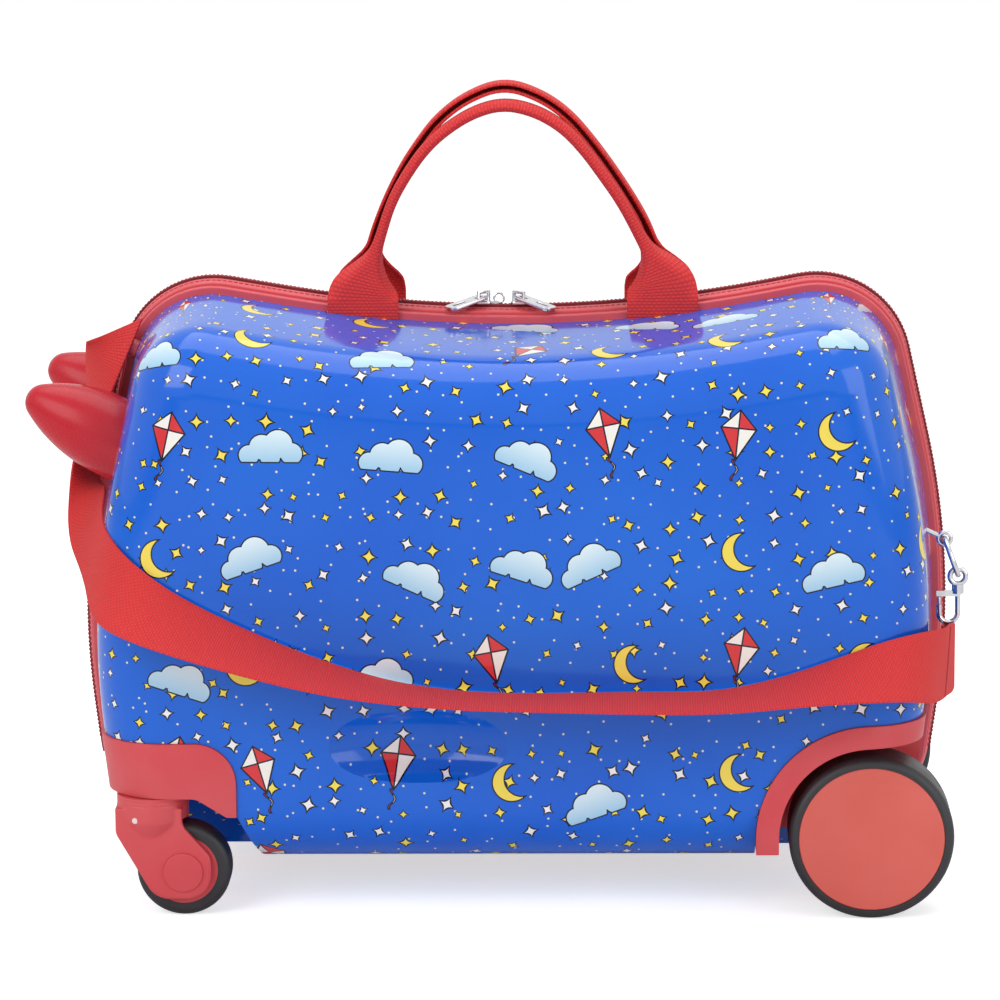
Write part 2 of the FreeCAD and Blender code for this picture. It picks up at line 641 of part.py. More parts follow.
def make_slider(x, way):
    """Zip slider: a rounded plate with a bail that holds the pull."""
    long, wide, high = size.slider_length, size.slider_width, size.slider_height
    plate = Part.makeBox(long, wide, high, Vector(-long / 2, -wide / 2, 0))
    upright = [edge for edge in plate.Edges if abs(edge.tangentAt(edge.FirstParameter).z) > 1 - NEAR]
    plate = plate.makeFillet(size.slider_corner, upright)
    top = [edge for edge in plate.Edges if all(abs(spot.Z - high) < NEAR for spot in edge.Vertexes)]
    plate = plate.makeFillet(size.slider_round, top)
    span, thick = size.lug_length, size.lug_width / 2
    tall = bail_height() + size.pull_thickness / 2 + size.pull_gap
    bail = Part.makeBox(span + 2 * thick, thick, tall + thick - high / 2,
                        Vector(-span / 2 - thick, -thick / 2, high / 2))
    gap = Part.makeBox(span, 2 * thick, tall - high, Vector(-span / 2, -thick, high))
    bail = bail.cut(gap)
    bail.rotate(Vector(), Z_AXIS, pull_heading(way))
    slider = plate.fuse(bail).removeSplitter()
    slider.Placement = on_saddle(x, size.coil_inset - size.slider_gap)
    return slider


def pull_heading(way):
    """Heading of a pull about Z: along the zip, turned to the left over the rail."""
    return -size.pull_turn if way > 0 else 180 + size.pull_turn


def make_pull(x, way):
    """Flat pull tab with an eye for the bail and a slot at its free end."""
    long, wide, thick = size.pull_length, size.pull_width, size.pull_thickness
    tab = Part.makeBox(long, wide, thick, Vector(-thick / 2, -wide / 2, -thick / 2))
    upright = [edge for edge in tab.Edges if abs(edge.tangentAt(edge.FirstParameter).z) > 1 - NEAR]
    tab = tab.makeFillet(size.pull_corner, upright)
    eye = Part.makeBox(size.lug_length, size.lug_width, 2 * thick,
                       Vector(thick / 2 + size.pull_eye_gap, -size.lug_width / 2, -thick))
    slot = Part.makeBox(size.pull_slot_length, size.pull_slot_width, 2 * thick,
                        Vector(size.pull_slot_start, -size.pull_slot_width / 2, -thick))
    tab = tab.cut(eye).cut(slot)
    tab.rotate(Vector(), Y_AXIS, size.pull_droop)
    tab.rotate(Vector(), Z_AXIS, pull_heading(way))
    tab.translate(Z_AXIS * bail_height())
    tab.Placement = on_saddle(x, size.coil_inset - size.slider_gap).multiply(tab.Placement)
    return tab


def make_lock_ring():
    """Small ring for a padlock, on an ear of the front slider."""
    wire, wide = size.lock_ring_wire, size.lock_ring_radius
    start = size.slider_length / 2
    reach = start + wide + 2 * wire
    hoop = Part.makeTorus(wide, wire, Vector(reach, 0, wide + wire), Y_AXIS)
    ear = Part.makeBox(reach - start, 2 * wire, 2 * wire, Vector(start, -wire, 0))
    ring_piece = hoop.fuse(ear).removeSplitter()
    ring_piece.Placement = on_saddle(-size.front_slider_x, size.coil_inset - size.slider_gap)
    return ring_piece


def rear_ring():
    """Centre of the strap ring at the rear, its axis and the direction in which it hangs."""
    turn = math.radians(size.ring_tilt)
    hang = Vector(math.sin(turn), 0, -math.cos(turn))
    axis = Vector(math.cos(turn), 0, math.sin(turn))
    return Vector(size.ring_x, -size.ring_side, size.ring_z), axis, hang


def shoulder_centre():
    """Centre of the arc that rounds the front shoulder."""
    corners = case_corners()
    before, spot, after = (Vector(x, 0, z) for x, z, radius in corners[4:7])
    to, on = (spot - before).normalize(), (after - spot).normalize()
    return spot + (on - to).normalize() * (size.shoulder_round / math.cos(to.getAngle(on) / 2))


def make_post():
    """Low stud on the front shoulder that the strap's sewn end is fastened to."""
    rise = math.radians(size.post_rise)
    along = Vector(-math.cos(rise), 0, math.sin(rise))
    reach = size.shoulder_round - size.shell_inset + size.post_height
    post = Part.makeCylinder(size.post_radius, reach, shoulder_centre() + OUT * size.post_side, along)
    return post.cut(dome(size.shell_inset, 0, size.half_width, size.edge_round))


def make_ring():
    centre, axis, hang = rear_ring()
    return Part.makeTorus(size.ring_radius, size.ring_wire, centre, axis)


def make_eyelet():
    """Eyelet round the top of the strap ring, on a stem that stands on the shell."""
    centre, axis, hang = rear_ring()
    spot = centre - hang * size.ring_radius
    loop = Part.makeTorus(size.eyelet_radius, size.eyelet_wire, spot, Y_AXIS)
    root = (axis * -1 - hang).normalize()
    stem = Part.makeCylinder(size.eyelet_wire, size.eyelet_stem, spot + root * size.eyelet_radius, root)
    eyelet = loop.fuse(stem).removeSplitter()
    return eyelet.cut(dome(size.shell_inset, 0, size.half_width, size.edge_round))


def hook_levels():
    """Top of the snap hook's eye centre, crossbar, shank end and bow, from the rear ring down."""
    centre, axis, hang = rear_ring()
    hung = centre + hang * size.ring_radius
    eye = hung - Z_AXIS * (size.hook_eye_radius - size.hook_wire - size.ring_wire - size.gate_gap)
    bar = eye - Z_AXIS * (size.hook_eye_radius + size.hook_barrel_height)
    low = bar - Z_AXIS * size.hook_shank
    return eye, bar, low


def make_hook():
    """Snap hook: an eye on the ring, a swivel barrel, a crossbar, a shank, a bow and the strap's bar."""
    eye, bar, low = hook_levels()
    wire, bow = size.hook_wire, size.hook_bow_radius
    loop = Part.makeTorus(size.hook_eye_radius, wire, eye, Y_AXIS)
    barrel = Part.makeCylinder(size.hook_barrel_radius, size.hook_barrel_height, bar)
    start = bar - Vector(2 * bow + wire, wire, wire)
    across = Part.makeBox(2 * bow + 2 * wire, 2 * wire, 2 * wire, start)
    shank = Part.makeCylinder(wire, size.hook_shank, low)
    half = Part.makeTorus(bow, wire, low - X_AXIS * bow, Y_AXIS)
    room = 2 * (bow + wire)
    half = half.cut(Part.makeBox(2 * room, 2 * room, room, low - Vector(bow + room, room, 0)))
    tip = Part.makeCylinder(wire, size.hook_tip, low - X_AXIS * 2 * bow)
    rod = Part.makeCylinder(wire, size.hook_bar, low - Vector(bow, 0, bow), Z_AXIS * -1)
    return loop.fuse([barrel, across, shank, half, tip, rod]).removeSplitter()


def make_gate():
    """Sprung gate from the crossbar down to the tip of the hook."""
    eye, bar, low = hook_levels()
    foot = low - X_AXIS * 2 * size.hook_bow_radius + Z_AXIS * (size.hook_tip + size.gate_gap)
    long = size.hook_shank - size.hook_wire - size.hook_tip - 2 * size.gate_gap - size.gate_radius
    head = Part.makeSphere(size.gate_radius, foot + Z_AXIS * long)
    return Part.makeCylinder(size.gate_radius, long, foot).fuse(head).removeSplitter()


def hinge_leaf(name, side, own):
    """Hinge leaf on a rail's inner face; own lists the places of its knuckles along the pin."""
    axis = "Size.rail_bottom + Size.hinge_rise"
    start = "-Size.hinge_length / 2"
    y = "-Size.tape_offset" if side < 0 else "Size.tape_offset - Size.leaf_thickness"
    pieces = [box(name + "_plate", "Size.hinge_length", "Size.leaf_thickness", "Size.leaf_height",
                  start, y, axis)]
    step = "Size.hinge_length / 5"
    long = f"{step} - Size.knuckle_gap"
    foot_y = "-Size.tape_offset" if side < 0 else "0"
    for number in own:
        x = f"{start} + {number} * {step} + Size.knuckle_gap / 2"
        pieces.append(cylinder(f"{name}_knuckle{number}", "Size.knuckle_radius", long, x, "0", axis,
                               Rotation(Y_AXIS, 90)))
        pieces.append(box(f"{name}_foot{number}", long, "Size.tape_offset", "Size.knuckle_radius",
                          x, foot_y, f"{axis} - Size.knuckle_radius"))
    bore = "Size.hinge_pin_radius" + (" + Size.run_gap" if side < 0 else "")
    hole = cylinder(name + "_bore", bore, "Size.hinge_length + 2 * Size.overrun",
                    f"{start} - Size.overrun", "0", axis, Rotation(Y_AXIS, 90))
    return cut(name, fused(name + "_blank", pieces), hole)


# Sewn webbing route of the tow strap, from the front post to the snap hook: chosen by hand
STRAP_ROUTE = [
    (-209.5, -14, 299), (-214, -13, 283), (-216, -12, 265), (-218, -9, 246), (-221.2, -20, 226),
    (-220.6, -46, 208), (-215, -78, 193), (-206, -107, 182.5), (-190, -126.5, 173.5), (-166, -132.2, 163.5),
    (-132, -135.2, 150.7), (-99.8, -136.4, 140), (-72.3, -136.8, 132.5), (-44.8, -137, 127.2),
    (-10.8, -137, 123.6), (24, -137, 122.8), (58.5, -137, 122.6), (84.5, -137, 122.4),
    (110.6, -137, 122.4), (131, -137, 124), (156.4, -136.6, 128.2), (182, -135.2, 133),
    (209.5, -130, 137), (227.5, -115, 135.5), (237.8, -88, 131.5), (242, -63, 130), (243.6, -44.6, 129.5),
]
# Direction across the webbing at each point of the route, from its upper to its lower edge
STRAP_LEAN = [
    (0.85, -0.35, 0.4), (0.6, -0.75, 0.2), (0.4, -0.9, 0.1), (0.05, -0.99, 0), (-0.15, -0.92, -0.3),
    (-0.15, -0.65, -0.74), (-0.1, -0.25, -0.96), (-0.15, -0.3, -0.94), (-0.3, -0.6, -0.74),
    (-0.28, -0.77, -0.57), (-0.2, -0.9, -0.38), (-0.1, -0.96, -0.26), (-0.05, -0.99, -0.15),
    (0, -1, -0.05), (0, -1, 0), (0, -1, 0), (0, -1, -0.04), (0, -1, -0.06), (0, -1, -0.06),
    (0.02, -0.99, -0.1), (0.05, -0.97, -0.2), (0.08, -0.91, -0.4), (0.1, -0.75, -0.65),
    (0.1, -0.4, -0.9), (0, 0.05, -0.99), (0, 0.05, -1), (0, 0, -1),
]
# Carry handle from a sewn end to its top: shares of the half span, the rise, the width and the roll
HANDLE_SHARES = [
    (-1, 0, 1, 0), (-0.985, 0.1, 0.75, 0.2), (-0.93, 0.26, 0.2, 0.7), (-0.8, 0.47, 0, 1),
    (-0.63, 0.69, 0, 1), (-0.42, 0.865, 0, 1), (-0.2, 0.965, 0, 1), (0, 1, 0, 1),
]

WHEEL_SPOT = ("Size.wheel_x", "-Size.wheel_inner", "Size.wheel_radius")
CASTER_X = "-Size.caster_x + Size.caster_trail"
CASTER_SPOT = (CASTER_X, "-Size.caster_side + Size.caster_width / 2", "Size.caster_radius")
KING_LOW = ("2 * Size.caster_radius + Size.crown_gap + Size.king_gap"
            " - Size.plate_bottom - Size.plate_thickness")
BOSS_END = "Size.well_depth + Size.fit_gap + Size.boss_length"
SPACER_LONG = f"Size.wheel_inner - 2 * Size.spacer_gap - ({BOSS_END})"
CASTER_HALF = "(Size.caster_width / 2 + Size.arm_gap + Size.arm_thickness)"

left = [
    solid("left_shell", make_shell()),
    solid("left_lining", make_lining()),
    solid("left_zip_rail", make_rail()),
    solid("left_zip_tape", make_tape()),
    solid("left_horn", make_horn()),
    solid("left_horn_screw", make_horn_screw()),
    solid("left_wheel_arch", make_arch()),
    solid("left_arch_screws", make_arch_screws()),
    solid("left_caster_bracket", make_bracket()),
    solid("left_caster_fork", make_fork()),
    solid("left_carry_handle", make_handle()),
    solid("left_handle_tabs", make_tabs()),
    turned("left_rear_tyre", [
        ("Size.rim_radius", "0"), ("Size.wheel_radius", "0"),
        ("Size.wheel_radius", "Size.wheel_width"), ("Size.rim_radius", "Size.wheel_width"),
    ], *WHEEL_SPOT, rounds=[
        ("Size.wheel_radius", "0", "Size.tyre_round"),
        ("Size.wheel_radius", "Size.wheel_width", "Size.tyre_round"),
    ]),
    turned("left_wheel_disc", [
        ("0", "Size.wheel_width - Size.disc_wall"),
        ("Size.axle_radius + Size.run_gap", "Size.wheel_width - Size.disc_wall"),
        ("Size.axle_radius + Size.run_gap", "0"), ("Size.hub_radius", "0"),
        ("Size.hub_radius", "Size.wheel_width - Size.disc_wall"),
        ("Size.rim_radius - Size.rim_wall", "Size.wheel_width - Size.disc_wall"),
        ("Size.rim_radius - Size.rim_wall", "0"), ("Size.rim_radius", "0"),
        ("Size.rim_radius", "Size.wheel_width"),
        ("0", "Size.wheel_width"),
    ], *WHEEL_SPOT, rounds=[("Size.rim_radius", "Size.wheel_width", "Size.disc_round")]),
    cylinder("left_rear_axle", "Size.axle_radius",
             "Size.wheel_inner + Size.wheel_width - Size.disc_wall - Size.axle_end_gap"
             " - Size.well_depth - Size.fit_gap",
             "Size.wheel_x", "-Size.well_depth - Size.fit_gap", "Size.wheel_radius", TO_LEFT),
    turned("left_king_pin", [
        ("0", KING_LOW), ("Size.king_pin_radius", KING_LOW), ("Size.king_pin_radius", "0"),
        ("Size.king_head_radius", "0"), ("Size.king_head_radius", "Size.king_head_height"),
        ("0", "Size.king_head_height"),
    ], "-Size.caster_x", "-Size.caster_side", "Size.plate_bottom + Size.plate_thickness", turn=None),
    turned("left_wheel_spacer", [
        ("Size.axle_radius + Size.run_gap", "0"), ("Size.axle_radius + Size.spacer_wall", "0"),
        ("Size.axle_radius + Size.spacer_wall", SPACER_LONG),
        ("Size.axle_radius + Size.run_gap", SPACER_LONG),
    ], "Size.wheel_x", f"-({BOSS_END} + Size.spacer_gap)", "Size.wheel_radius"),
    turned("left_caster_tyre", [
        ("Size.caster_rim_radius", "0"), ("Size.caster_radius", "0"),
        ("Size.caster_radius", "Size.caster_width"), ("Size.caster_rim_radius", "Size.caster_width"),
    ], *CASTER_SPOT, rounds=[
        ("Size.caster_radius", "0", "Size.caster_tyre_round"),
        ("Size.caster_radius", "Size.caster_width", "Size.caster_tyre_round"),
    ]),
    turned("left_caster_hub", [
        ("Size.caster_axle_radius + Size.run_gap", "0"), ("Size.caster_rim_radius", "0"),
        ("Size.caster_rim_radius", "Size.caster_width"),
        ("Size.caster_axle_radius + Size.run_gap", "Size.caster_width"),
    ], *CASTER_SPOT),
    cylinder("left_caster_axle", "Size.caster_axle_radius", f"2 * {CASTER_HALF}",
             CASTER_X, f"-Size.caster_side + {CASTER_HALF}", "Size.caster_radius", TO_LEFT),
]


def caster_caps():
    """Axle caps on both arms of the left fork."""
    lid = [("0", "0"), ("Size.cap_radius", "0"), ("Size.cap_radius", "Size.cap_height"),
           ("0", "Size.cap_height")]
    rim = [("Size.cap_radius", "Size.cap_height", "Size.cap_round")]
    near = turned("left_cap_out", lid, CASTER_X, f"-Size.caster_side - {CASTER_HALF}", "Size.caster_radius",
                  rounds=rim)
    far = turned("left_cap_in", lid, CASTER_X, f"-Size.caster_side + {CASTER_HALF}", "Size.caster_radius",
                 turn=Rotation(X_AXIS, -90), rounds=rim)
    caps = doc.addObject("Part::Compound", "left_caster_caps")
    caps.Links = [near, far]
    return caps


rivet_x, rivet_z = "-Size.caster_x - Size.rivet_back", "Size.plate_bottom - Size.rivet_drop"
left += [
    caster_caps(),
    cylinder("left_fork_rivet", "Size.rivet_radius", f"2 * {CASTER_HALF}", rivet_x,
             f"-Size.caster_side + {CASTER_HALF}", rivet_z, TO_LEFT),
]

right = []
for item in left:
    twin = doc.addObject("Part::Mirroring", item.Name.replace("left_", "right_"))
    twin.Source, twin.Base, twin.Normal = item, Vector(), Y_AXIS
    right.append(twin)

middle = [
    hinge_leaf("left_hinge_leaf", -1, (1, 3)),
    hinge_leaf("right_hinge_leaf", 1, (0, 2, 4)),
    cylinder("hinge_pin", "Size.hinge_pin_radius", "Size.hinge_length", "-Size.hinge_length / 2", "0",
             "Size.rail_bottom + Size.hinge_rise", Rotation(Y_AXIS, 90)),
    solid("front_zip_slider", make_slider(-size.front_slider_x, -1)),
    solid("rear_zip_slider", make_slider(size.rear_slider_x, 1)),
    solid("front_zip_pull", make_pull(-size.front_slider_x, -1)),
    solid("rear_zip_pull", make_pull(size.rear_slider_x, 1)),
    solid("lock_ring", make_lock_ring()),
    solid("front_strap_post", make_post()),
    solid("rear_strap_ring", make_ring()),
    solid("rear_ring_eyelet", make_eyelet()),
    solid("snap_hook", make_hook()),
    solid("snap_hook_gate", make_gate()),
    solid("tow_strap", make_strap()),
]

doc.recompute()
pieces = left + right + middle
for item in doc.Objects:
    if "Invalid" in item.State or "Error" in item.State:
        raise RuntimeError(f"{item.Name} could not be worked out: {item.State}")
for item in pieces:
    if item.Shape.isNull() or not item.Shape.isValid() or not item.Shape.Solids:
        raise RuntimeError(f"{item.Label} has no sound solid")

os.makedirs("parts", exist_ok=True)
for item in pieces:
    item.Shape.exportStep(f"parts/{item.Label}.step")
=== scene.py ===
"""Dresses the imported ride-on suitcase: printed shells, zip, webbing, horns, wheels and fittings."""

import math
from functools import partial

import bpy
from mathutils import Matrix, Vector


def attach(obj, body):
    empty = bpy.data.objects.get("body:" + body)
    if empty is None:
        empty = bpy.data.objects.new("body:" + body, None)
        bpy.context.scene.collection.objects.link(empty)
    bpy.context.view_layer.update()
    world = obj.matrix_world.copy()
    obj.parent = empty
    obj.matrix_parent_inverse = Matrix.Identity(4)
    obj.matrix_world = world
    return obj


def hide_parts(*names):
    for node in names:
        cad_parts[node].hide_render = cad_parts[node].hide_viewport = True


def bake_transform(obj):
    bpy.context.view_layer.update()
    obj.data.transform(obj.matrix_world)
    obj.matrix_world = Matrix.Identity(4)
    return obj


bl_info = {
    "name": "Ride-on suitcase",
    "version": (1, 0, 0),
    "blender": (4, 5, 0),
    "location": "View3D > Sidebar > Suitcase",
    "description": "Models the looks of a ride-on suitcase around its packed frame",
    "category": "Object",
}

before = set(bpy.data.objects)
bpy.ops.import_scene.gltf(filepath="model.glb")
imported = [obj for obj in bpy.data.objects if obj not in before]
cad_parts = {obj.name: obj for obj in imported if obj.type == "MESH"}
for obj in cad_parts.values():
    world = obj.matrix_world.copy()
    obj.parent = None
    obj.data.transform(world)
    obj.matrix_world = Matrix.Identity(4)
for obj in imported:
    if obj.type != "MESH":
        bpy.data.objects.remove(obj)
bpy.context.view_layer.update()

MM = 0.001
# The two halves, and the way along Y that each of them faces
SIDES = {"left": -1, "right": 1}


def linear(code):
    """Turns an sRGB hex colour into the linear values that shaders and colour properties hold."""
    parts = [int(code[i:i + 2], 16) / 255 for i in (0, 2, 4)]
    return [c / 12.92 if c <= 0.04045 else ((c + 0.055) / 1.055) ** 2.4 for c in parts] + [1.0]


# Settings

COLOUR = {"subtype": "COLOR", "size": 4, "min": 0, "max": 1}
LENGTH = {"unit": "LENGTH", "min": 0}
POWER = {"subtype": "POWER", "min": 0}


class SuitcaseColours(bpy.types.PropertyGroup):
    """Colours of the suitcase's finishes."""

    shell: bpy.props.FloatVectorProperty(
        name="Shell", description="Ground of the printed shell",
        default=linear("0A5ED4"), **COLOUR)
    plastic: bpy.props.FloatVectorProperty(
        name="Red plastic", description="Arches, brackets and forks",
        default=linear("D2434B"), **COLOUR)
    horn: bpy.props.FloatVectorProperty(
        name="Horns", description="Satin grip horns",
        default=linear("C0182A"), **COLOUR)
    rail: bpy.props.FloatVectorProperty(
        name="Zip rail", description="Soft rail beside the zip",
        default=linear("D64C56"), **COLOUR)
    webbing: bpy.props.FloatVectorProperty(
        name="Webbing", description="Tow strap and carry handles",
        default=linear("E63838"), **COLOUR)
    disc: bpy.props.FloatVectorProperty(
        name="Wheel discs", description="Matt discs of the rear wheels",
        default=linear("D75E52"), **COLOUR)
    tyre: bpy.props.FloatVectorProperty(
        name="Tyres", description="Dark rubber of all wheels",
        default=linear("26262A"), **COLOUR)
    lining: bpy.props.FloatVectorProperty(
        name="Lining", description="Cloth inside the shells",
        default=linear("B9403F"), **COLOUR)


class SuitcaseSizes(bpy.types.PropertyGroup):
    """Sizes of the details that the frame leaves to the looks."""

    edge: bpy.props.FloatProperty(
        name="Moulded edge", description="Round along the edges of moulded pieces",
        default=0.9 * MM, **LENGTH)
    strap_width: bpy.props.FloatProperty(
        name="Strap width", description="Width of the tow strap's webbing",
        default=38 * MM, **LENGTH)
    strap_thickness: bpy.props.FloatProperty(
        name="Strap thickness", description="Thickness of the tow strap's webbing",
        default=1.4 * MM, **LENGTH)
    handle_width: bpy.props.FloatProperty(
        name="Handle width", description="Width of a carry handle's webbing laid flat",
        default=38 * MM, **LENGTH)
    handle_thickness: bpy.props.FloatProperty(
        name="Handle thickness", description="Thickness of a carry handle's webbing",
        default=1.6 * MM, **LENGTH)
    tooth_pitch: bpy.props.FloatProperty(
        name="Zip tooth pitch", description="Distance between the turns of the zip's coil",
        default=2.2 * MM, **LENGTH)
    motif_cell: bpy.props.FloatProperty(
        name="Motif spacing", description="Distance between the large motifs of the print",
        default=60 * MM, **LENGTH)
    speck_cell: bpy.props.FloatProperty(
        name="Speck spacing", description="Distance between the small motifs of the print",
        default=17.5 * MM, **LENGTH)
    dust_cell: bpy.props.FloatProperty(
        name="Dust spacing", description="Distance between the tiny dots of the print",
        default=13 * MM, **LENGTH)


class SuitcaseStage(bpy.types.PropertyGroup):
    """Studio light round the suitcase."""

    key: bpy.props.FloatProperty(
        name="Key light", description="Power of the large lamp on the front left",
        default=25, **POWER)
    fill: bpy.props.FloatProperty(
        name="Fill light", description="Power of the lamp on the front right",
        default=15, **POWER)
    top: bpy.props.FloatProperty(
        name="Top light", description="Power of the lamp overhead",
        default=26, **POWER)
    room: bpy.props.FloatProperty(
        name="Room light", description="Strength of the even light from all round",
        subtype="FACTOR", default=0.42, min=0, max=1)


# Small tools

MERGE_GAP = 0.004 * MM


def clamp(value):
    """Keeps a value between 0 and 1."""
    return max(0.0, min(1.0, value))


def walked(points):
    """Distance along a line of points from its start to each of them."""
    lengths = [0.0]
    for a, b in zip(points, points[1:]):
        lengths.append(lengths[-1] + (b - a).length)
    return lengths


def node(tree, kind, inputs=(), **settings):
    """Adds a shader node, sets its properties and fills its inputs with values or links."""
    made = tree.nodes.new("ShaderNode" + kind)
    for name, value in settings.items():
        setattr(made, name, value)
    pairs = inputs.items() if isinstance(inputs, dict) else enumerate(inputs)
    for key, value in pairs:
        if isinstance(value, bpy.types.NodeSocket):
            tree.links.new(value, made.inputs[key])
        else:
            made.inputs[key].default_value = value
    return made.outputs


def empty_material(name):
    """New material with no nodes, and the function that adds nodes to it."""
    material = bpy.data.materials.new(name)
    material.use_nodes = True
    material.node_tree.nodes.clear()
    return material, partial(node, material.node_tree)


def new_piece(name, data):
    """New object in the scene that holds some data."""
    piece = bpy.data.objects.new(name, data)
    bpy.context.scene.collection.objects.link(piece)
    return piece


def pick(piece):
    """Selects one object alone and makes it the active one."""
    bpy.ops.object.select_all(action="DESELECT")
    piece.select_set(True)
    bpy.context.view_layer.objects.active = piece


def finish_with(piece, kind, **settings):
    """Adds a modifier to an object and applies it."""
    pick(piece)
    modifier = piece.modifiers.new(kind.title(), kind)
    for name, value in settings.items():
        setattr(modifier, name, value)
    bpy.ops.object.modifier_apply(modifier=modifier.name)


def edit_all(piece, operator, **settings):
    """Runs one edit mode operator on all of an object's mesh."""
    pick(piece)
    bpy.ops.object.mode_set(mode="EDIT")
    bpy.ops.mesh.select_all(action="SELECT")
    operator(**settings)
    bpy.ops.object.mode_set(mode="OBJECT")


def smooth(piece, degrees=35):
    """Shades an object smooth, with edges sharper than an angle left crisp."""
    pick(piece)
    bpy.ops.object.shade_smooth_by_angle(angle=math.radians(degrees))


def round_edges(piece, width, degrees):
    """Rounds the edges of an object that are sharper than an angle."""
    finish_with(piece, "BEVEL", width=width, segments=2, limit_method="ANGLE",
                angle_limit=math.radians(degrees))


def own_copy(cad_name, name):
    """Copies a frame node's mesh into a new object and merges its loose triangles."""
    piece = new_piece(name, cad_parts[cad_name].data.copy())
    pick(piece)
    bpy.ops.mesh.customdata_custom_splitnormals_clear()
    edit_all(piece, bpy.ops.mesh.remove_doubles, threshold=MERGE_GAP)
    return piece


def wear(piece, material):
    """Gives an object one material."""
    piece.data.materials.clear()
    piece.data.materials.append(material)


def settle(piece, body, slot, material, *nodes):
    """Gives a finished piece its material and body, and hides the frame nodes that it stands for. Its
    slot is not used.
    """
    wear(piece, material)
    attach(piece, body)
    if nodes:
        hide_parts(*nodes)
    return piece


def dress(cad_name, body, slot, material, edge=0.0):
    """Makes a merged and smoothly shaded piece of a frame node, with its edges rounded."""
    piece = own_copy(cad_name, cad_name + "_piece")
    if edge:
        # Flat triangles become whole faces first
        edit_all(piece, bpy.ops.mesh.dissolve_limited, angle_limit=math.radians(0.3))
        round_edges(piece, edge, 32)
    smooth(piece)
    return settle(piece, body, slot, material, cad_name)


def repaint(material, *nodes):
    """Gives frame nodes that are shown as they are a better material."""
    for name in nodes:
        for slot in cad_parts[name].material_slots:
            slot.material = material


def line_curve(name, points, kind, dimensions="3D", fineness=12):
    """Curve with one open spline that has these points."""
    curve = bpy.data.curves.new(name, "CURVE")
    curve.dimensions = dimensions
    curve.resolution_u = fineness
    spline = curve.splines.new(kind)
    spline.points.add(len(points) - 1)
    for point, spot in zip(spline.points, points):
        point.co = (*spot, 1)
    return curve


def spline_points(spots, fineness=8):
    """Points along the smooth spline that has these spots as its control points."""
    curve = line_curve("line", spots, "NURBS", fineness=fineness)
    curve.splines[0].order_u = 3
    curve.splines[0].use_endpoint_u = True
    holder = bpy.data.objects.new("line", curve)
    line = bpy.data.meshes.new_from_object(holder)
    points = [vertex.co.copy() for vertex in line.vertices]
    bpy.data.objects.remove(holder)
    bpy.data.curves.remove(curve)
    bpy.data.meshes.remove(line)
    return points


def webbing_band(name, rows, marks, thickness, edge, crisp):
    """Thick band through rows of points, with a UV map that holds each point's marks, in metres."""
    wide = len(rows[0])
    faces = []
    for i in range(len(rows) - 1):
        for j in range(wide - 1):
            a = i * wide + j
            faces.append((a, a + 1, a + wide + 1, a + wide))
    mesh = bpy.data.meshes.new(name)
    mesh.from_pydata([spot for row in rows for spot in row], [], faces)
    layer = mesh.uv_layers.new(name="weave")
    flat = [mark for row in marks for mark in row]
    for loop in mesh.loops:
        layer.data[loop.index].uv = flat[loop.vertex_index]
    piece = new_piece(name, mesh)
    finish_with(piece, "SOLIDIFY", thickness=thickness, offset=0, use_even_offset=True)
    round_edges(piece, edge, 50)
    smooth(piece, crisp)
    return piece


def thread_piece(name, points, radius):
    """Round thread through points, as a mesh."""
    curve = line_curve(name, points, "POLY")
    curve.bevel_depth = radius
    curve.bevel_resolution = 1
    piece = new_piece(name, curve)
    pick(piece)
    bpy.ops.object.convert(target="MESH")
    smooth(piece, 60)
    return piece


def repeat_along(item, points, pitch):
    """Repeats a small item along a line in the XZ plane: X runs along it, Z points to its left."""
    curve = line_curve("line", [spot.to_3d() for spot in points], "POLY", dimensions="2D")
    holder = new_piece("line", curve)
    holder.rotation_euler = (math.radians(90), 0, 0)
    bpy.context.view_layer.update()
    finish_with(item, "ARRAY", count=int(walked(points)[-1] / pitch), use_relative_offset=False,
                use_constant_offset=True, constant_offset_displace=(pitch, 0, 0))
    finish_with(item, "CURVE", object=holder, deform_axis="POS_X")
    bpy.data.objects.remove(holder)
    bpy.data.curves.remove(curve)
    smooth(item, 50)


# Materials

# Places and radii of a cloud's puffs, in millimetres
CLOUD_PUFFS = ((-13, -2, 7), (-5, 3, 8.5), (5, 5, 9.5), (13, -1, 7.5), (0, -3, 7))
CLOUD_FOOT = -7
OUTLINE = "101528"


def mottled(add, place, patch_mm, detail, share, ground, other):
    """Soft patches this many millimetres wide, and the paint that they mix of two colours."""
    patches = add("TexNoise", {
        "Vector": place, "Scale": 1 / (patch_mm * MM), "Detail": detail})[0]
    share = add("MapRange", (patches, *share))[0]
    paint = add("Mix", {0: share, 6: ground, 7: other}, data_type="RGBA")[2]
    return patches, paint


def scattered(add, uv, spacing, scatter, sway, scale):
    """Places from the middle of random cells, turned by chance, and the chances of each cell."""
    cells = add("TexVoronoi", {"Vector": uv, "Scale": 1 / spacing, "Randomness": scatter},
                voronoi_dimensions="2D")
    chance = add("SeparateColor", (cells["Color"],))
    place = add("VectorMath", (uv, cells["Position"]), operation="SUBTRACT")[0]
    lean = add("MapRange", (chance[0], 0, 1, -sway, sway))[0]
    place = add("VectorRotate", {"Vector": place, "Angle": lean}, rotation_type="Z_AXIS")[0]
    return add("VectorMath", {0: place, "Scale": scale}, operation="SCALE")[0], chance


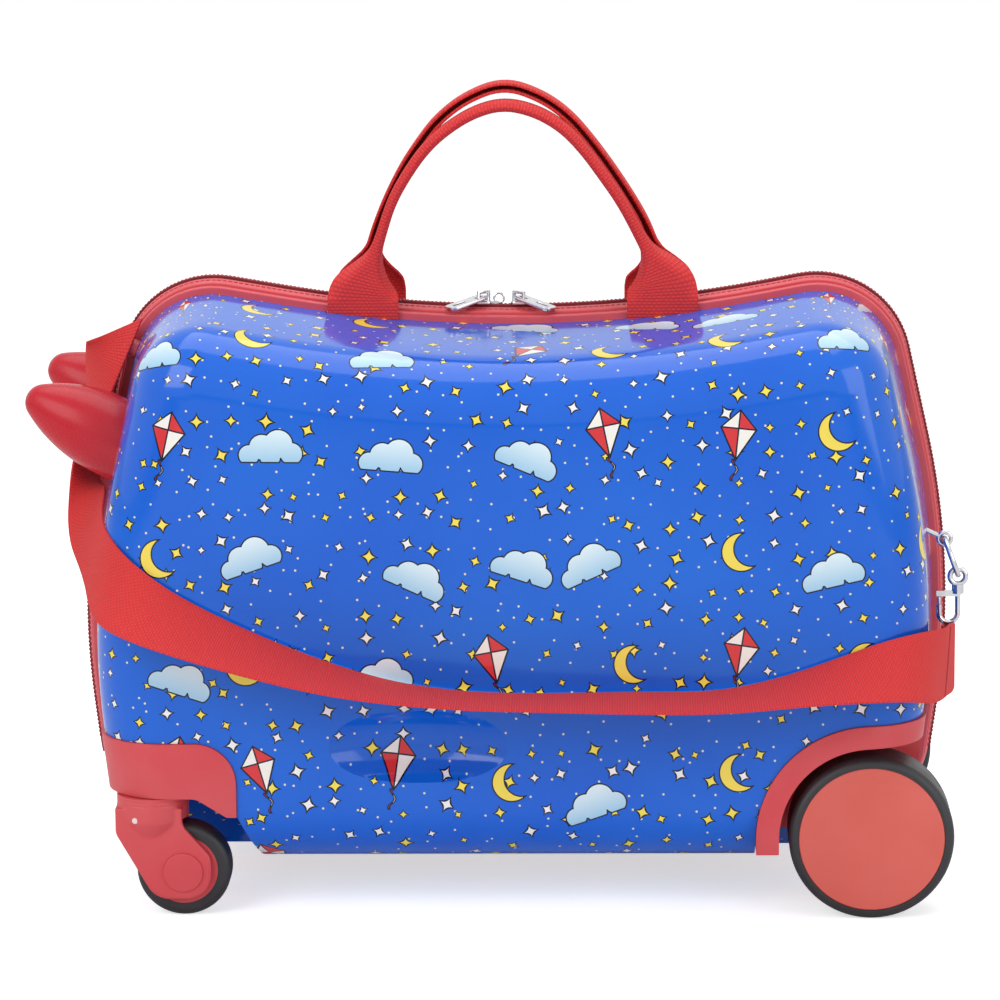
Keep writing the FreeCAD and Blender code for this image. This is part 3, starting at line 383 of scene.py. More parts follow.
def cloud_motif(add, place):
    """Five puffs over a flat foot: the distance from the rim, below zero inside, and the tint."""
    puffs = None
    for px, py, radius in CLOUD_PUFFS:
        gap = add("VectorMath", (place, (px, py, 0)), operation="DISTANCE")["Value"]
        rim = add("Math", (gap, radius), operation="SUBTRACT")[0]
        if puffs is None:
            puffs = rim
        else:
            puffs = add("Math", (puffs, rim), operation="MINIMUM")[0]
    y = add("SeparateXYZ", (place,))[1]
    foot = add("Math", (CLOUD_FOOT, y), operation="SUBTRACT")[0]
    shade = add("MapRange", (y, CLOUD_FOOT, 12, 0, 1))[0]
    tint = add("Mix", {0: shade, 6: linear("9CCBEA"), 7: linear("DDF0F8")}, data_type="RGBA")[2]
    return add("Math", (puffs, foot), operation="MAXIMUM")[0], tint


def crescent_motif(add, place):
    """A disc less a second disc: the distance from the rim, below zero inside, and the tint."""
    disc = add("VectorMath", (place, (0, 0, 0)), operation="DISTANCE")["Value"]
    disc = add("Math", (disc, 12.5), operation="SUBTRACT")[0]
    bite = add("VectorMath", (place, (6, 3, 0)), operation="DISTANCE")["Value"]
    bite = add("Math", (10.5, bite), operation="SUBTRACT")[0]
    return add("Math", (disc, bite), operation="MAXIMUM")[0], linear("F3DC5A")


def kite_motif(add, place):
    """A long lozenge with four panels and a wavy tail: the distance from the rim, and the tint."""
    axes = add("SeparateXYZ", (place,))
    x, y = axes[0], axes[1]
    side = add("Math", (x,), operation="ABSOLUTE")[0]
    up = add("Math", (y,), operation="ABSOLUTE")[0]
    low = add("Math", (y, 0.0), operation="LESS_THAN")[0]
    steep = add("MapRange", (low, 0, 1, 0.95, 0.55))[0]
    lozenge = add("Math", (up, steep, side), operation="MULTIPLY_ADD")[0]
    lozenge = add("Math", (lozenge, 11.5), operation="SUBTRACT")[0]
    lozenge = add("Math", (lozenge, 0.72), operation="MULTIPLY")[0]
    wave = add("Math", (y, 0.55), operation="MULTIPLY")[0]
    wave = add("Math", (wave,), operation="SINE")[0]
    wave = add("Math", (wave, 1.6, x), operation="MULTIPLY_ADD")[0]
    wave = add("Math", (wave,), operation="ABSOLUTE")[0]
    tail = add("Math", (wave, 1.0), operation="SUBTRACT")[0]
    reach = add("Math", (y, 26.0), operation="ADD")[0]
    reach = add("Math", (reach,), operation="ABSOLUTE")[0]
    reach = add("Math", (reach, 7.0), operation="SUBTRACT")[0]
    tail = add("Math", (tail, reach), operation="MAXIMUM")[0]
    panel = add("Math", (x, y), operation="MULTIPLY")[0]
    panel = add("Math", (panel, 0.0), operation="GREATER_THAN")[0]
    spine = add("Math", (side, up), operation="MINIMUM")[0]
    spine = add("Math", (spine, 0.5), operation="LESS_THAN")[0]
    tint = add("Mix", {0: panel, 6: linear("F4F1EA"), 7: linear("D9363B")}, data_type="RGBA")[2]
    tint = add("Mix", {0: spine, 6: tint, 7: linear("141A30")}, data_type="RGBA")[2]
    return add("Math", (lozenge, tail), operation="MINIMUM")[0], tint


def printed_shell_material(colours, sizes):
    """Printed polycarbonate, vacuum formed: a clear glossy skin over a sky print on blue.

    The skin gives sharp lamp bands that swim a little, as formed sheet is never quite flat."""
    material, add = empty_material("printed_polycarbonate")
    uv = add("UVMap", uv_map="print")[0]

    # Large motifs: each cell's chance decides which of the three it holds
    place, chance = scattered(add, uv, sizes.motif_cell, 0.55, 0.5, 1.18 / MM)
    shape, tint = cloud_motif(add, place)
    for motif, least in ((crescent_motif, 0.42), (kite_motif, 0.68)):
        other, other_tint = motif(add, place)
        held = add("Math", (chance[1], least), operation="GREATER_THAN")[0]
        shape = add("Mix", {0: held, 2: shape, 3: other}, data_type="FLOAT")[0]
        tint = add("Mix", {0: held, 6: tint, 7: other_tint}, data_type="RGBA")[2]
    motif_fill = add("Math", (shape, -0.9), operation="LESS_THAN")[0]
    motif_edge = add("Math", (shape, 0.0), operation="LESS_THAN")[0]

    # Small motifs: four-pointed sparkles, in yellow and white
    spot, luck = scattered(add, uv, sizes.speck_cell, 0.72, 0.6, 1 / MM)
    arms = add("VectorMath", (spot,), operation="ABSOLUTE")[0]
    arms = add("SeparateXYZ", (arms,))
    across = add("Math", (arms[0], 0.6), operation="POWER")[0]
    along = add("Math", (arms[1], 0.6), operation="POWER")[0]
    star = add("Math", (across, along), operation="ADD")[0]
    grade = add("MapRange", (luck[2], 0, 1, 1.55, 2.25))[0]
    star_fill = add("Math", (star, grade), operation="LESS_THAN")[0]
    wide = add("Math", (grade, 1.32), operation="MULTIPLY")[0]
    star_edge = add("Math", (star, wide), operation="LESS_THAN")[0]
    gold = add("Math", (luck[1], 0.55), operation="LESS_THAN")[0]
    star_tint = add("Mix", {0: gold, 6: linear("F2F2F4"), 7: linear("F6E25A")}, data_type="RGBA")[2]

    # Dust: pale dots between the sparkles
    dust = add("TexVoronoi", {
        "Vector": uv, "Scale": 1 / sizes.dust_cell, "Randomness": 0.9},
        voronoi_dimensions="2D")["Distance"]
    dust = add("Math", (dust, 0.6 * MM / sizes.dust_cell), operation="LESS_THAN")[0]

    # Ground, dust and sparkles, then the large motifs over them
    _, paint = mottled(add, uv, 111, 2, (0.35, 0.7, 0, 1), colours.shell, linear("1068DA"))
    for share, layer in (
            (dust, linear("E9E3B4")), (star_edge, linear(OUTLINE)), (star_fill, star_tint),
            (motif_edge, linear(OUTLINE)), (motif_fill, tint)):
        paint = add("Mix", {0: share, 6: paint, 7: layer}, data_type="RGBA")[2]

    spread = add("TexCoord")["Object"]
    swim = add("TexNoise", {"Vector": spread, "Scale": 1 / (45 * MM), "Detail": 1.0})[0]
    bump = add("Bump", {"Height": swim, "Strength": 0.12, "Distance": 1.2 * MM})[0]
    haze = add("TexNoise", {"Vector": spread, "Scale": 1 / (6 * MM), "Detail": 4.0})[0]
    haze = add("MapRange", (haze, 0.3, 0.75, 0.10, 0.17))[0]
    shader = add("BsdfPrincipled", {
        "Base Color": paint, "Roughness": haze, "IOR": 1.5, "Specular IOR Level": 0.3,
        "Normal": bump, "Coat Weight": 0.2, "Coat Roughness": 0.04})[0]
    add("OutputMaterial", (shader,))
    return material


def moulded_plastic_material(name, colour, grain_mm, low, high, depth_mm, shine=0.5):
    """Injection moulded polypropylene: an even colour under a fine spark-eroded grain.

    The grain breaks the light into a soft sheen, and the colour pales in the thin places. The
    grain is drawn several times as coarse as a real one, to show."""
    material, add = empty_material(name)
    spread = add("TexCoord")["Object"]
    _, paint = mottled(add, spread, 38, 3, (0.3, 0.7, 0, 0.28 * shine), colour, linear("E98A86"))
    grain = add("TexNoise", {
        "Vector": spread, "Scale": 1 / (grain_mm * MM), "Detail": 3.0})[0]
    rough = add("MapRange", (grain, 0.3, 0.7, low, high))[0]
    bump = add("Bump", {"Height": grain, "Strength": 0.35, "Distance": depth_mm * MM})[0]
    shader = add("BsdfPrincipled", {
        "Base Color": paint, "Roughness": rough, "IOR": 1.49, "Specular IOR Level": shine,
        "Normal": bump})[0]
    add("OutputMaterial", (shader,))
    return material


def rail_material(colour):
    """Extruded soft PVC: smooth and slightly waxy, with fine draw lines along the rail."""
    material, add = empty_material("extruded_soft_pvc")
    spread = add("TexCoord")["Object"]
    axes = add("SeparateXYZ", (spread,))
    line = add("Math", (axes[1], 2 * math.pi / (1.6 * MM)), operation="MULTIPLY")[0]
    line = add("Math", (line,), operation="SINE")[0]
    cloudy, paint = mottled(add, spread, 20, 3, (0.3, 0.7, 0, 0.2), colour, linear("D65C60"))
    rough = add("MapRange", (cloudy, 0.3, 0.7, 0.33, 0.46))[0]
    bump = add("Bump", {"Height": line, "Strength": 0.25, "Distance": 0.12 * MM})[0]
    shader = add("BsdfPrincipled", {
        "Base Color": paint, "Roughness": rough, "IOR": 1.52, "Normal": bump})[0]
    add("OutputMaterial", (shader,))
    return material


def webbing_material(name, colour, rib_mm, yarn_mm):
    """Woven polyester webbing: thick yarns cross the band as ribs, thin ones run over them.

    Real yarns are about half as wide; they are drawn as coarse as it takes to show."""
    material, add = empty_material(name)
    uv = add("UVMap", uv_map="weave")[0]
    axes = add("SeparateXYZ", (uv,))
    rib = add("Math", (axes[0], math.pi / (rib_mm * MM)), operation="MULTIPLY")[0]
    rib = add("Math", (rib,), operation="SINE")[0]
    yarn = add("Math", (axes[1], math.pi / (yarn_mm * MM)), operation="MULTIPLY")[0]
    yarn = add("Math", (yarn,), operation="SINE")[0]
    cross = add("Math", (rib, yarn), operation="MULTIPLY")[0]
    arch = add("Math", (rib,), operation="ABSOLUTE")[0]
    weave = add("Math", (cross, 0.45, arch), operation="MULTIPLY_ADD")[0]
    drawn = add("Mapping", {"Vector": uv, "Scale": (1, 4, 1)})[0]
    fibre = add("TexNoise", {"Vector": drawn, "Scale": 1 / (1.6 * MM), "Detail": 3.0})[0]
    height = add("Math", (fibre, 0.5, weave), operation="MULTIPLY_ADD")[0]
    # Painted shade: the weave's low places are mixed towards a dark red, standing in for the shade
    # between the yarns
    depth = add("MapRange", (height, 0.0, 1.5, 0, 1))[0]
    valley_shade = add("Mix", {0: 0.48, 6: colour, 7: linear("7A0F16")}, data_type="RGBA")[2]
    paint = add("Mix", {0: depth, 6: valley_shade, 7: colour}, data_type="RGBA")[2]
    bump = add("Bump", {"Height": height, "Strength": 0.6, "Distance": 0.35 * MM})[0]
    shader = add("BsdfPrincipled", {
        "Base Color": paint, "Roughness": 0.8, "IOR": 1.46, "Normal": bump,
        "Sheen Weight": 0.1, "Sheen Roughness": 0.45, "Sheen Tint": linear("F5A49B")})[0]
    add("OutputMaterial", (shader,))
    return material


def thread_material():
    """Bonded polyester sewing thread: darker than the webbing, its twist catches the light.

    The twist is drawn about twice as coarse as a real one, to show."""
    material, add = empty_material("bonded_polyester_thread")
    spread = add("TexCoord")["Object"]
    twist, paint = mottled(
        add, spread, 1.2, 3, (0.3, 0.7, 0.1, 0.6), linear("C22A32"), linear("8E1420"))
    bump = add("Bump", {"Height": twist, "Strength": 0.5, "Distance": 0.1 * MM})[0]
    shader = add("BsdfPrincipled", {
        "Base Color": paint, "Roughness": 0.5, "IOR": 1.5, "Normal": bump})[0]
    add("OutputMaterial", (shader,))
    return material


def cloth_material(name, colour, thread_mm):
    """Plain woven polyester cloth: a dull even face with a fine thread grid.

    The threads are drawn about three times as wide as real ones, to show."""
    material, add = empty_material(name)
    spread = add("TexCoord")["Object"]
    grid = add("VectorMath", {0: spread, "Scale": math.pi / (thread_mm * MM)}, operation="SCALE")[0]
    grid = add("VectorMath", (grid,), operation="SINE")[0]
    axes = add("SeparateXYZ", (grid,))
    weave = add("Math", (axes[0], axes[2], axes[1]), operation="MULTIPLY_ADD")[0]
    _, paint = mottled(add, spread, 9, 4, (0.3, 0.7, 0, 0.35), colour, linear("8C2A2C"))
    bump = add("Bump", {"Height": weave, "Strength": 0.3, "Distance": 0.15 * MM})[0]
    shader = add("BsdfPrincipled", {
        "Base Color": paint, "Roughness": 0.8, "IOR": 1.46, "Normal": bump,
        "Sheen Weight": 0.2, "Sheen Roughness": 0.5})[0]
    add("OutputMaterial", (shader,))
    return material


def nylon_material(name, colour):
    """Drawn nylon filament, as in a zip's coil: a waxy sheen that varies from turn to turn."""
    material, add = empty_material(name)
    spread = add("TexCoord")["Object"]
    mottle, paint = mottled(add, spread, 3, 2, (0.3, 0.7, 0, 0.4), colour, linear("86141F"))
    rough = add("MapRange", (mottle, 0.3, 0.7, 0.3, 0.45))[0]
    shader = add("BsdfPrincipled", {
        "Base Color": paint, "Roughness": rough, "IOR": 1.53})[0]
    add("OutputMaterial", (shader,))
    return material


def rubber_material(colour):
    """Moulded thermoplastic rubber: near black and dull, with dust that lifts it in patches.

    The grain is drawn several times as coarse as a real one, to show."""
    material, add = empty_material("thermoplastic_rubber")
    spread = add("TexCoord")["Object"]
    dust, paint = mottled(add, spread, 14, 5, (0.4, 0.75, 0, 0.25), colour, linear("3C3C40"))
    grain = add("TexNoise", {"Vector": spread, "Scale": 1 / (0.7 * MM), "Detail": 2.0})[0]
    rough = add("MapRange", (dust, 0.3, 0.7, 0.4, 0.58))[0]
    bump = add("Bump", {"Height": grain, "Strength": 0.3, "Distance": 0.08 * MM})[0]
    shader = add("BsdfPrincipled", {
        "Base Color": paint, "Roughness": rough, "IOR": 1.5, "Normal": bump})[0]
    add("OutputMaterial", (shader,))
    return material


def metal_material(name, colour, low, high, scratch_mm):
    """Plated or turned metal: bright, with fine handling marks that dull it in streaks."""
    material, add = empty_material(name)
    spread = add("TexCoord")["Object"]
    drawn = add("Mapping", {"Vector": spread, "Scale": (1, 5, 1)})[0]
    marks, paint = mottled(
        add, drawn, scratch_mm, 4, (0.3, 0.75, 0, 0.3), colour, linear("A9ABAE"))
    rough = add("MapRange", (marks, 0.35, 0.7, low, high))[0]
    shader = add("BsdfPrincipled", {
        "Base Color": paint, "Metallic": 1.0, "Roughness": rough})[0]
    add("OutputMaterial", (shader,))
    return material


def floor_material():
    """Pale painted studio floor that the camera sees as white, with the soft shadow left in it."""
    material, add = empty_material("painted_studio_floor")
    spread = add("TexCoord")["Object"]
    _, paint = mottled(
        add, spread, 333, 2, (0.3, 0.7, 0, 1), linear("F3F3F3"), linear("F6F6F6"))
    matt = add("BsdfDiffuse", (paint,))[0]
    path = add("LightPath")
    seen = add("Math", (path["Is Camera Ray"], 0.6), operation="MULTIPLY")[0]
    glow = add("Emission", {"Strength": seen})[0]
    both = add("AddShader", (matt, glow))[0]
    add("OutputMaterial", (both,))
    return material


def shared_materials(colours):
    """Makes the materials that pieces of several steps wear."""
    moulded_plastic_material("moulded_polypropylene", colours.plastic, 1.0, 0.36, 0.5, 0.06)
    rubber_material(colours.tyre)
    metal_material("turned_steel", linear("BFC1C4"), 0.22, 0.4, 2)
    metal_material("chromed_zinc", linear("DCDDE0"), 0.08, 0.2, 4)
    thread_material()


# Stage, in metres and degrees

CAMERA_PLACE = (0.0702, -2.5652, 0.7023)
CAMERA_HEADING, CAMERA_TILT, CAMERA_ROLL = 1.5, 79, -0.5
CAMERA_LENS, CAMERA_FILM = 173.08, 36
FLOOR_SIZE, SIGHT = 60, 100
LAMP_AIM = (0, 0, 0.2)
# Place, width and height of each lamp
LAMPS = {
    "key": ((-1.5, -1.7, 1.5), 1.5, 1.5),
    "fill": ((1.9, -1.5, 1.0), 1.4, 1.6),
    "top": ((0.1, 0.2, 2.3), 2.4, 1.6),
}


class SUITCASE_OT_stage(bpy.types.Operator):
    """Sets up the camera, the floor, the lamps and the room light"""

    bl_idname = "suitcase.stage"
    bl_label = "Stage"

    def execute(self, context):
        stage = context.scene.suitcase_stage
        bpy.ops.object.select_all(action="DESELECT")
        turn = Matrix.Rotation(math.radians(CAMERA_HEADING), 3, "Z")
        turn = turn @ Matrix.Rotation(math.radians(CAMERA_TILT), 3, "X")
        turn = turn @ Matrix.Rotation(math.radians(CAMERA_ROLL), 3, "Z")
        bpy.ops.object.camera_add(location=CAMERA_PLACE, rotation=turn.to_euler())
        camera = context.active_object
        camera.data.lens = CAMERA_LENS
        camera.data.sensor_width = CAMERA_FILM
        camera.data.clip_end = SIGHT
        context.scene.camera = camera

        bpy.ops.mesh.primitive_grid_add(x_subdivisions=4, y_subdivisions=4, size=FLOOR_SIZE)
        floor = context.active_object
        floor.name = "studio_floor"
        wear(floor, floor_material())

        for name, (place, wide, high) in LAMPS.items():
            bpy.ops.object.light_add(type="AREA", location=place)
            lamp = context.active_object
            lamp.name = name
            lamp.data.energy = getattr(stage, name)
            lamp.data.shape = "RECTANGLE"
            lamp.data.size = wide
            lamp.data.size_y = high
            sight = Vector(LAMP_AIM) - Vector(place)
            lamp.rotation_euler = sight.to_track_quat("-Z", "Y").to_euler()

        world = bpy.data.worlds.new("studio_room")
        context.scene.world = world
        world.use_nodes = True
        world.node_tree.nodes.clear()
        add = partial(node, world.node_tree)
        path = add("LightPath")
        seen = path["Is Camera Ray"]
        for ray in ("Is Glossy Ray", "Is Transmission Ray"):
            seen = add("Math", (seen, path[ray]), operation="MAXIMUM")[0]
        strength = add("MapRange", (seen, 0, 1, stage.room, 1.0))[0]
        back = add("Background", (linear("FFFFFF"), strength))[0]
        add("OutputWorld", (back,))
        context.scene.view_settings.view_transform = "Standard"
        return {"FINISHED"}


# Tow strap: its route and the direction across it from the upper to the lower edge, in millimetres

STRAP_ROUTE = [
    (-202.8, -20.6, 301), (-209.8, -18.6, 284), (-214, -14.8, 266), (-216.9, -10, 246),
    (-219.6, -20, 226), (-217.4, -46, 208), (-211, -78, 193), (-202.5, -107, 182.5),
    (-188.5, -126.5, 173.5), (-166, -132.2, 163.5), (-132, -135.2, 150.7), (-99.8, -136.4, 140),
    (-72.3, -136.8, 132.5), (-44.8, -137, 127.2), (-10.8, -137, 123.6), (24, -137, 122.8),
    (58.5, -137, 122.6), (84.5, -137, 122.4), (110.6, -137, 122.4), (131, -137, 124),
    (156.4, -136.6, 128.2), (182, -135.2, 133), (209.5, -130, 137), (227.5, -115, 135.5),
    (238.4, -88, 131.5), (242.2, -68, 129.5), (245.6, -52, 127),
]
STRAP_LEAN = [
    (0.85, -0.35, 0.4), (0.6, -0.75, 0.2), (0.4, -0.9, 0.1), (0.05, -0.99, 0),
    (-0.15, -0.92, -0.3), (-0.15, -0.65, -0.74), (-0.1, -0.25, -0.96), (-0.15, -0.3, -0.94),
    (-0.3, -0.6, -0.74), (-0.28, -0.77, -0.57), (-0.2, -0.9, -0.38), (-0.1, -0.96, -0.26),
    (-0.05, -0.99, -0.15), (0, -1, -0.05), (0, -1, 0), (0, -1, 0), (0, -1, -0.04),
    (0, -1, -0.06), (0, -1, -0.06), (0.02, -0.99, -0.1), (0.05, -0.97, -0.2),
    (0.08, -0.91, -0.4), (0.1, -0.75, -0.65), (0.1, -0.4, -0.9), (0, 0.05, -0.99),
    (0, 0.05, -1), (0, 0, -1),
]
# The webbing's end turns round the hook's bar and is sewn to its own inner side: place and width
STRAP_FOLD = [
    ((247.1, -44, 126), 34), ((246.4, -39.6, 125.8), 33), ((243.8, -38.9, 125.8), 32.5),
    ((241.5, -40.6, 125.9), 32.5), ((241.3, -47, 126.5), 33), ((240.3, -57, 128.2), 35),
    ((239.4, -67, 130), 37), ((238.6, -76, 131), 37.6),
]
STRAP_STEPS = 8
STRAP_EDGE = 0.4 * MM
STRAP_YARN = 1.3

# The seam that closes the fold: its place, stitches, margin at both edges, and slant in rows
SEAM_PLACE = Vector((241, -73, 130)) * MM
SEAM_TURNS, SEAM_MARGIN, SEAM_LEAD, SEAM_SLANT = 26, 0.03, 2, 5
SEAM_SWING, SEAM_LIFT, SEAM_RADIUS = 0.45 * MM, 0.15 * MM, 0.42 * MM


def strap_edges(width):
    """Control points of the strap's middle and its two edges, in metres."""
    spots = [Vector(spot) * MM for spot in STRAP_ROUTE]
    upper, lower = [], []
    for number, spot in enumerate(spots):
        along = spots[min(number + 1, len(spots) - 1)] - spots[max(number - 1, 0)]
        across = Vector(STRAP_LEAN[number])
        if number > 0:
            across -= along * (across.dot(along) / along.length_squared)
        across = across.normalized() * (width / 2)
        upper.append(spot - across)
        lower.append(spot + across)
    return spots, upper, lower


def fold_seam(middle, tops, lows, thickness):
    """Points of the zigzag seam, which slants back from the upper to the lower edge."""
    near = min(range(len(middle)), key=lambda i: (middle[i] - SEAM_PLACE).length)
    seam = []
    for i in range(SEAM_TURNS + 1):
        share = SEAM_MARGIN + (1 - 2 * SEAM_MARGIN) * i / SEAM_TURNS
        place = near + SEAM_LEAD - SEAM_SLANT * share
        row = int(place)
        here, ahead = (tops[k].lerp(lows[k], share) for k in (row, row + 1))
        along = (tops[row + 1] - tops[row]).normalized()
        across = (lows[row] - tops[row]).normalized()
        out = across.cross(along) * (thickness / 2 + SEAM_LIFT)
        out = out if out.x - out.y > 0 else -out
        swing = along * (SEAM_SWING if i % 2 else -SEAM_SWING)
        seam.append(here.lerp(ahead, place - row) + out + swing)
    return seam


class SUITCASE_OT_tow_strap(bpy.types.Operator):
    """Weaves the tow strap along its route and sews its end round the hook"""

    bl_idname = "suitcase.tow_strap"
    bl_label = "Tow strap"

    def execute(self, context):
        sizes, colours = context.scene.suitcase_sizes, context.scene.suitcase_colours
        spots, upper, lower = strap_edges(sizes.strap_width)
        route = spline_points(spots)
        for spot, width in STRAP_FOLD:
            half = Vector((0, 0, width / 2 * MM))
            spots.append(Vector(spot) * MM)
            upper.append(spots[-1] + half)
            lower.append(spots[-1] - half)
        middle, tops, lows = spline_points(spots), spline_points(upper), spline_points(lower)
        shares = [i / STRAP_STEPS for i in range(STRAP_STEPS + 1)]
        rows = [[top.lerp(low, share) for share in shares] for top, low in zip(tops, lows)]
        marks = [[(run, (share - 0.5) * sizes.strap_width) for share in shares]
                 for run in walked(middle)]
        strap = webbing_band(
            "tow_strap_webbing", rows, marks, sizes.strap_thickness, STRAP_EDGE, 40)
        weave = webbing_material(
            "woven_polyester_strap", colours.webbing, STRAP_YARN, STRAP_YARN)
        settle(strap, "left_half", "red_webbing", weave, "tow_strap")

        seam = fold_seam(middle, tops, lows, sizes.strap_thickness)
        thread = thread_piece("strap_seam", seam, SEAM_RADIUS)
        settle(thread, "left_half", "red_webbing", bpy.data.materials["bonded_polyester_thread"])

        return {"FINISHED"}


# Shells

# The foot rest and its lip, seen from the side: lowest and highest X, lowest and highest Z
FOOT_REST = [edge * MM for edge in (-92, 16, 66, 122)]
LIP_ROUND, LIP_NEAR = 3 * MM, 0.02 * MM
# The round between a side face and the walls, which the print is unrolled over
EDGE_ROUND = 34 * MM
# How far the two halves' prints lie apart
PRINT_SHIFT = 0.35


def in_foot_rest(spot):
    """Whether a spot of a shell lies in or round the foot rest, seen from the side."""
    rear, front, low, high = FOOT_REST
    return rear < spot.x < front and low < spot.z < high


def round_lip(shell, outer):
    """Rounds the lip where the foot rest dips into the shell's side face."""
    pick(shell)
    bpy.ops.object.mode_set(mode="EDIT")
    bpy.ops.mesh.select_mode(type="EDGE")
    bpy.ops.mesh.select_all(action="DESELECT")
    bpy.ops.mesh.edges_select_sharp(sharpness=math.radians(14))
    bpy.ops.object.mode_set(mode="OBJECT")
    mesh = shell.data
    for edge in mesh.edges:
        for spot in (mesh.vertices[i].co for i in edge.vertices):
            if not in_foot_rest(spot) or abs(abs(spot.y) - outer) > LIP_NEAR:
                edge.select = False
    bpy.ops.object.mode_set(mode="EDIT")
    bpy.ops.mesh.bevel(offset=LIP_ROUND, segments=4, affect="EDGES", clamp_overlap=True)
    bpy.ops.mesh.select_mode(type="VERT")
    bpy.ops.object.mode_set(mode="OBJECT")


def print_place(vertex, outer, way):
    """Place of a shell's vertex on the flat print, with the walls unrolled outwards, in metres."""
    turn = outer - EDGE_ROUND
    depth = abs(vertex.co.y)
    lean = Vector((vertex.normal.x, vertex.normal.z))
    spot = Vector((vertex.co.x, vertex.co.z))
    if lean.length > 0.05 and not (in_foot_rest(vertex.co) and depth > turn):
        over = math.acos(clamp((depth - turn) / EDGE_ROUND))
        more = EDGE_ROUND * (over - math.sin(over)) + max(0.0, turn - depth)
        spot += lean.normalized() * more
    return way * (PRINT_SHIFT - spot.x), spot.y


class SUITCASE_OT_shells(bpy.types.Operator):
    """Prints the two half shells and lines them with cloth"""

    bl_idname = "suitcase.shells"
    bl_label = "Shells"

    def execute(self, context):
        sizes, colours = context.scene.suitcase_sizes, context.scene.suitcase_colours
        printed = printed_shell_material(colours, sizes)
        lining = cloth_material("lining_polyester", colours.lining, 0.9)
        for side, way in SIDES.items():
            shell = own_copy(side + "_shell", side + "_printed_shell")
            outer = max(abs(vertex.co.y) for vertex in shell.data.vertices)
            round_lip(shell, outer)
            smooth(shell, 40)
            layer = shell.data.uv_layers.new(name="print")
            for loop in shell.data.loops:
                vertex = shell.data.vertices[loop.vertex_index]
                layer.data[loop.index].uv = print_place(vertex, outer, way)
            settle(shell, side + "_half", "printed_shell", printed, side + "_shell")
            repaint(lining, side + "_lining")
        return {"FINISHED"}


# Zip, in millimetres

# Corners of the rails' outline, seen from the left side: X, Z and the arc that rounds them
CASE_CORNERS = [
    (231, 18, 58), (252, 165, 420), (214, 337, 52), (18, 300, 722.15), (-190, 336, 52),
    (-229, 165, 420), (-212, 18, 58),
]
# Height that the zip ends at, and how far its lines lie inside the outline
ZIP_FOOT, COIL_INSET, STITCH_INSET = 66, 0.65, 2.3
# Share of the pitch that a turn of the coil fills, its place from the middle, width and height
TOOTH_SHARE, TOOTH_PLACE, TOOTH_WIDTH, TOOTH_HEIGHT = 0.62, 0.95, 1.5, 1.1
STITCH_PLACE, STITCH_RADIUS, STITCH_LENGTH, STITCH_PITCH = 6.6, 0.32, 2.1, 3


def case_line(inset):
    """Points along the rails' outline from the rear over the top to the front, in metres."""
    count = len(CASE_CORNERS)
    spots = [Vector((x, z)) for x, z, _ in CASE_CORNERS]
    runs = [(spots[(i + 1) % count] - spots[i]).normalized() for i in range(count)]
    points = []
    for i, (_, _, bend) in enumerate(CASE_CORNERS):
        before, after = runs[i - 1], runs[i]
        left = before.x * after.y - before.y * after.x > 0
        turn = before.angle(after)
        inward = Vector((-before.y, before.x))
        half = (inward + Vector((-after.y, after.x))).normalized()
        corner = spots[i] + half * (inset / half.dot(inward))
        radius = bend - inset if left else bend + inset
        centre = corner + (after - before).normalized() * (radius / math.cos(turn / 2))
        start = corner - before * (radius * math.tan(turn / 2)) - centre
        steps = max(8, int(radius * turn / 6))
        for step in range(steps + 1):
            angle = turn * step / steps * (1 if left else -1)
            spot = Matrix.Rotation(angle, 2) @ start + centre
            if spot.y > ZIP_FOOT:
                points.append(spot * MM)
    return points


class SUITCASE_OT_zip(bpy.types.Operator):
    """Finishes the zip rails, tapes, coil, stitches, sliders and pulls"""

    bl_idname = "suitcase.zip"
    bl_label = "Zip"

    def execute(self, context):
        sizes, colours = context.scene.suitcase_sizes, context.scene.suitcase_colours
        rail = rail_material(colours.rail)
        tape = cloth_material("zip_tape_polyester", linear("7E1A22"), 0.8)
        coil = nylon_material("drawn_nylon_coil", linear("B52B35"))
        thread = bpy.data.materials["bonded_polyester_thread"]
        chrome = bpy.data.materials["chromed_zinc"]
        for side, way in SIDES.items():
            half = side + "_half"
            dress(side + "_zip_rail", half, "red_rail", rail)
            repaint(tape, side + "_zip_tape")

            bpy.ops.object.select_all(action="DESELECT")
            bpy.ops.mesh.primitive_cube_add(size=1, location=(0, way * TOOTH_PLACE * MM, 0))
            tooth = context.active_object
            tooth.name = side + "_zip_coil"
            tooth.scale = (TOOTH_SHARE * sizes.tooth_pitch, TOOTH_WIDTH * MM, TOOTH_HEIGHT * MM)
            bpy.ops.object.transform_apply(location=True, rotation=False, scale=True)
            finish_with(tooth, "BEVEL", width=0.3 * MM, segments=1)
            repeat_along(tooth, case_line(COIL_INSET), sizes.tooth_pitch)
            settle(tooth, half, "zip_tape", coil)

            bpy.ops.object.select_all(action="DESELECT")
            bpy.ops.mesh.primitive_cylinder_add(
                vertices=6, radius=STITCH_RADIUS * MM, depth=STITCH_LENGTH * MM,
                location=(0, way * STITCH_PLACE * MM, 0), rotation=(0, math.radians(90), 0))
            stitch = context.active_object
            stitch.name = side + "_rail_stitches"
            bpy.ops.object.transform_apply(location=True, rotation=True, scale=True)
            repeat_along(stitch, case_line(STITCH_INSET), STITCH_PITCH * MM)
            settle(stitch, half, "red_rail", thread)
        for end in ("front", "rear"):
            dress(end + "_zip_slider", end + "_slider", "chromed", chrome, 0.3 * MM)
            dress(end + "_zip_pull", end + "_pull", "chromed", chrome, 0.35 * MM)
        dress("lock_ring", "front_slider", "chromed", chrome)
        return {"FINISHED"}


# Webbing handles, in millimetres

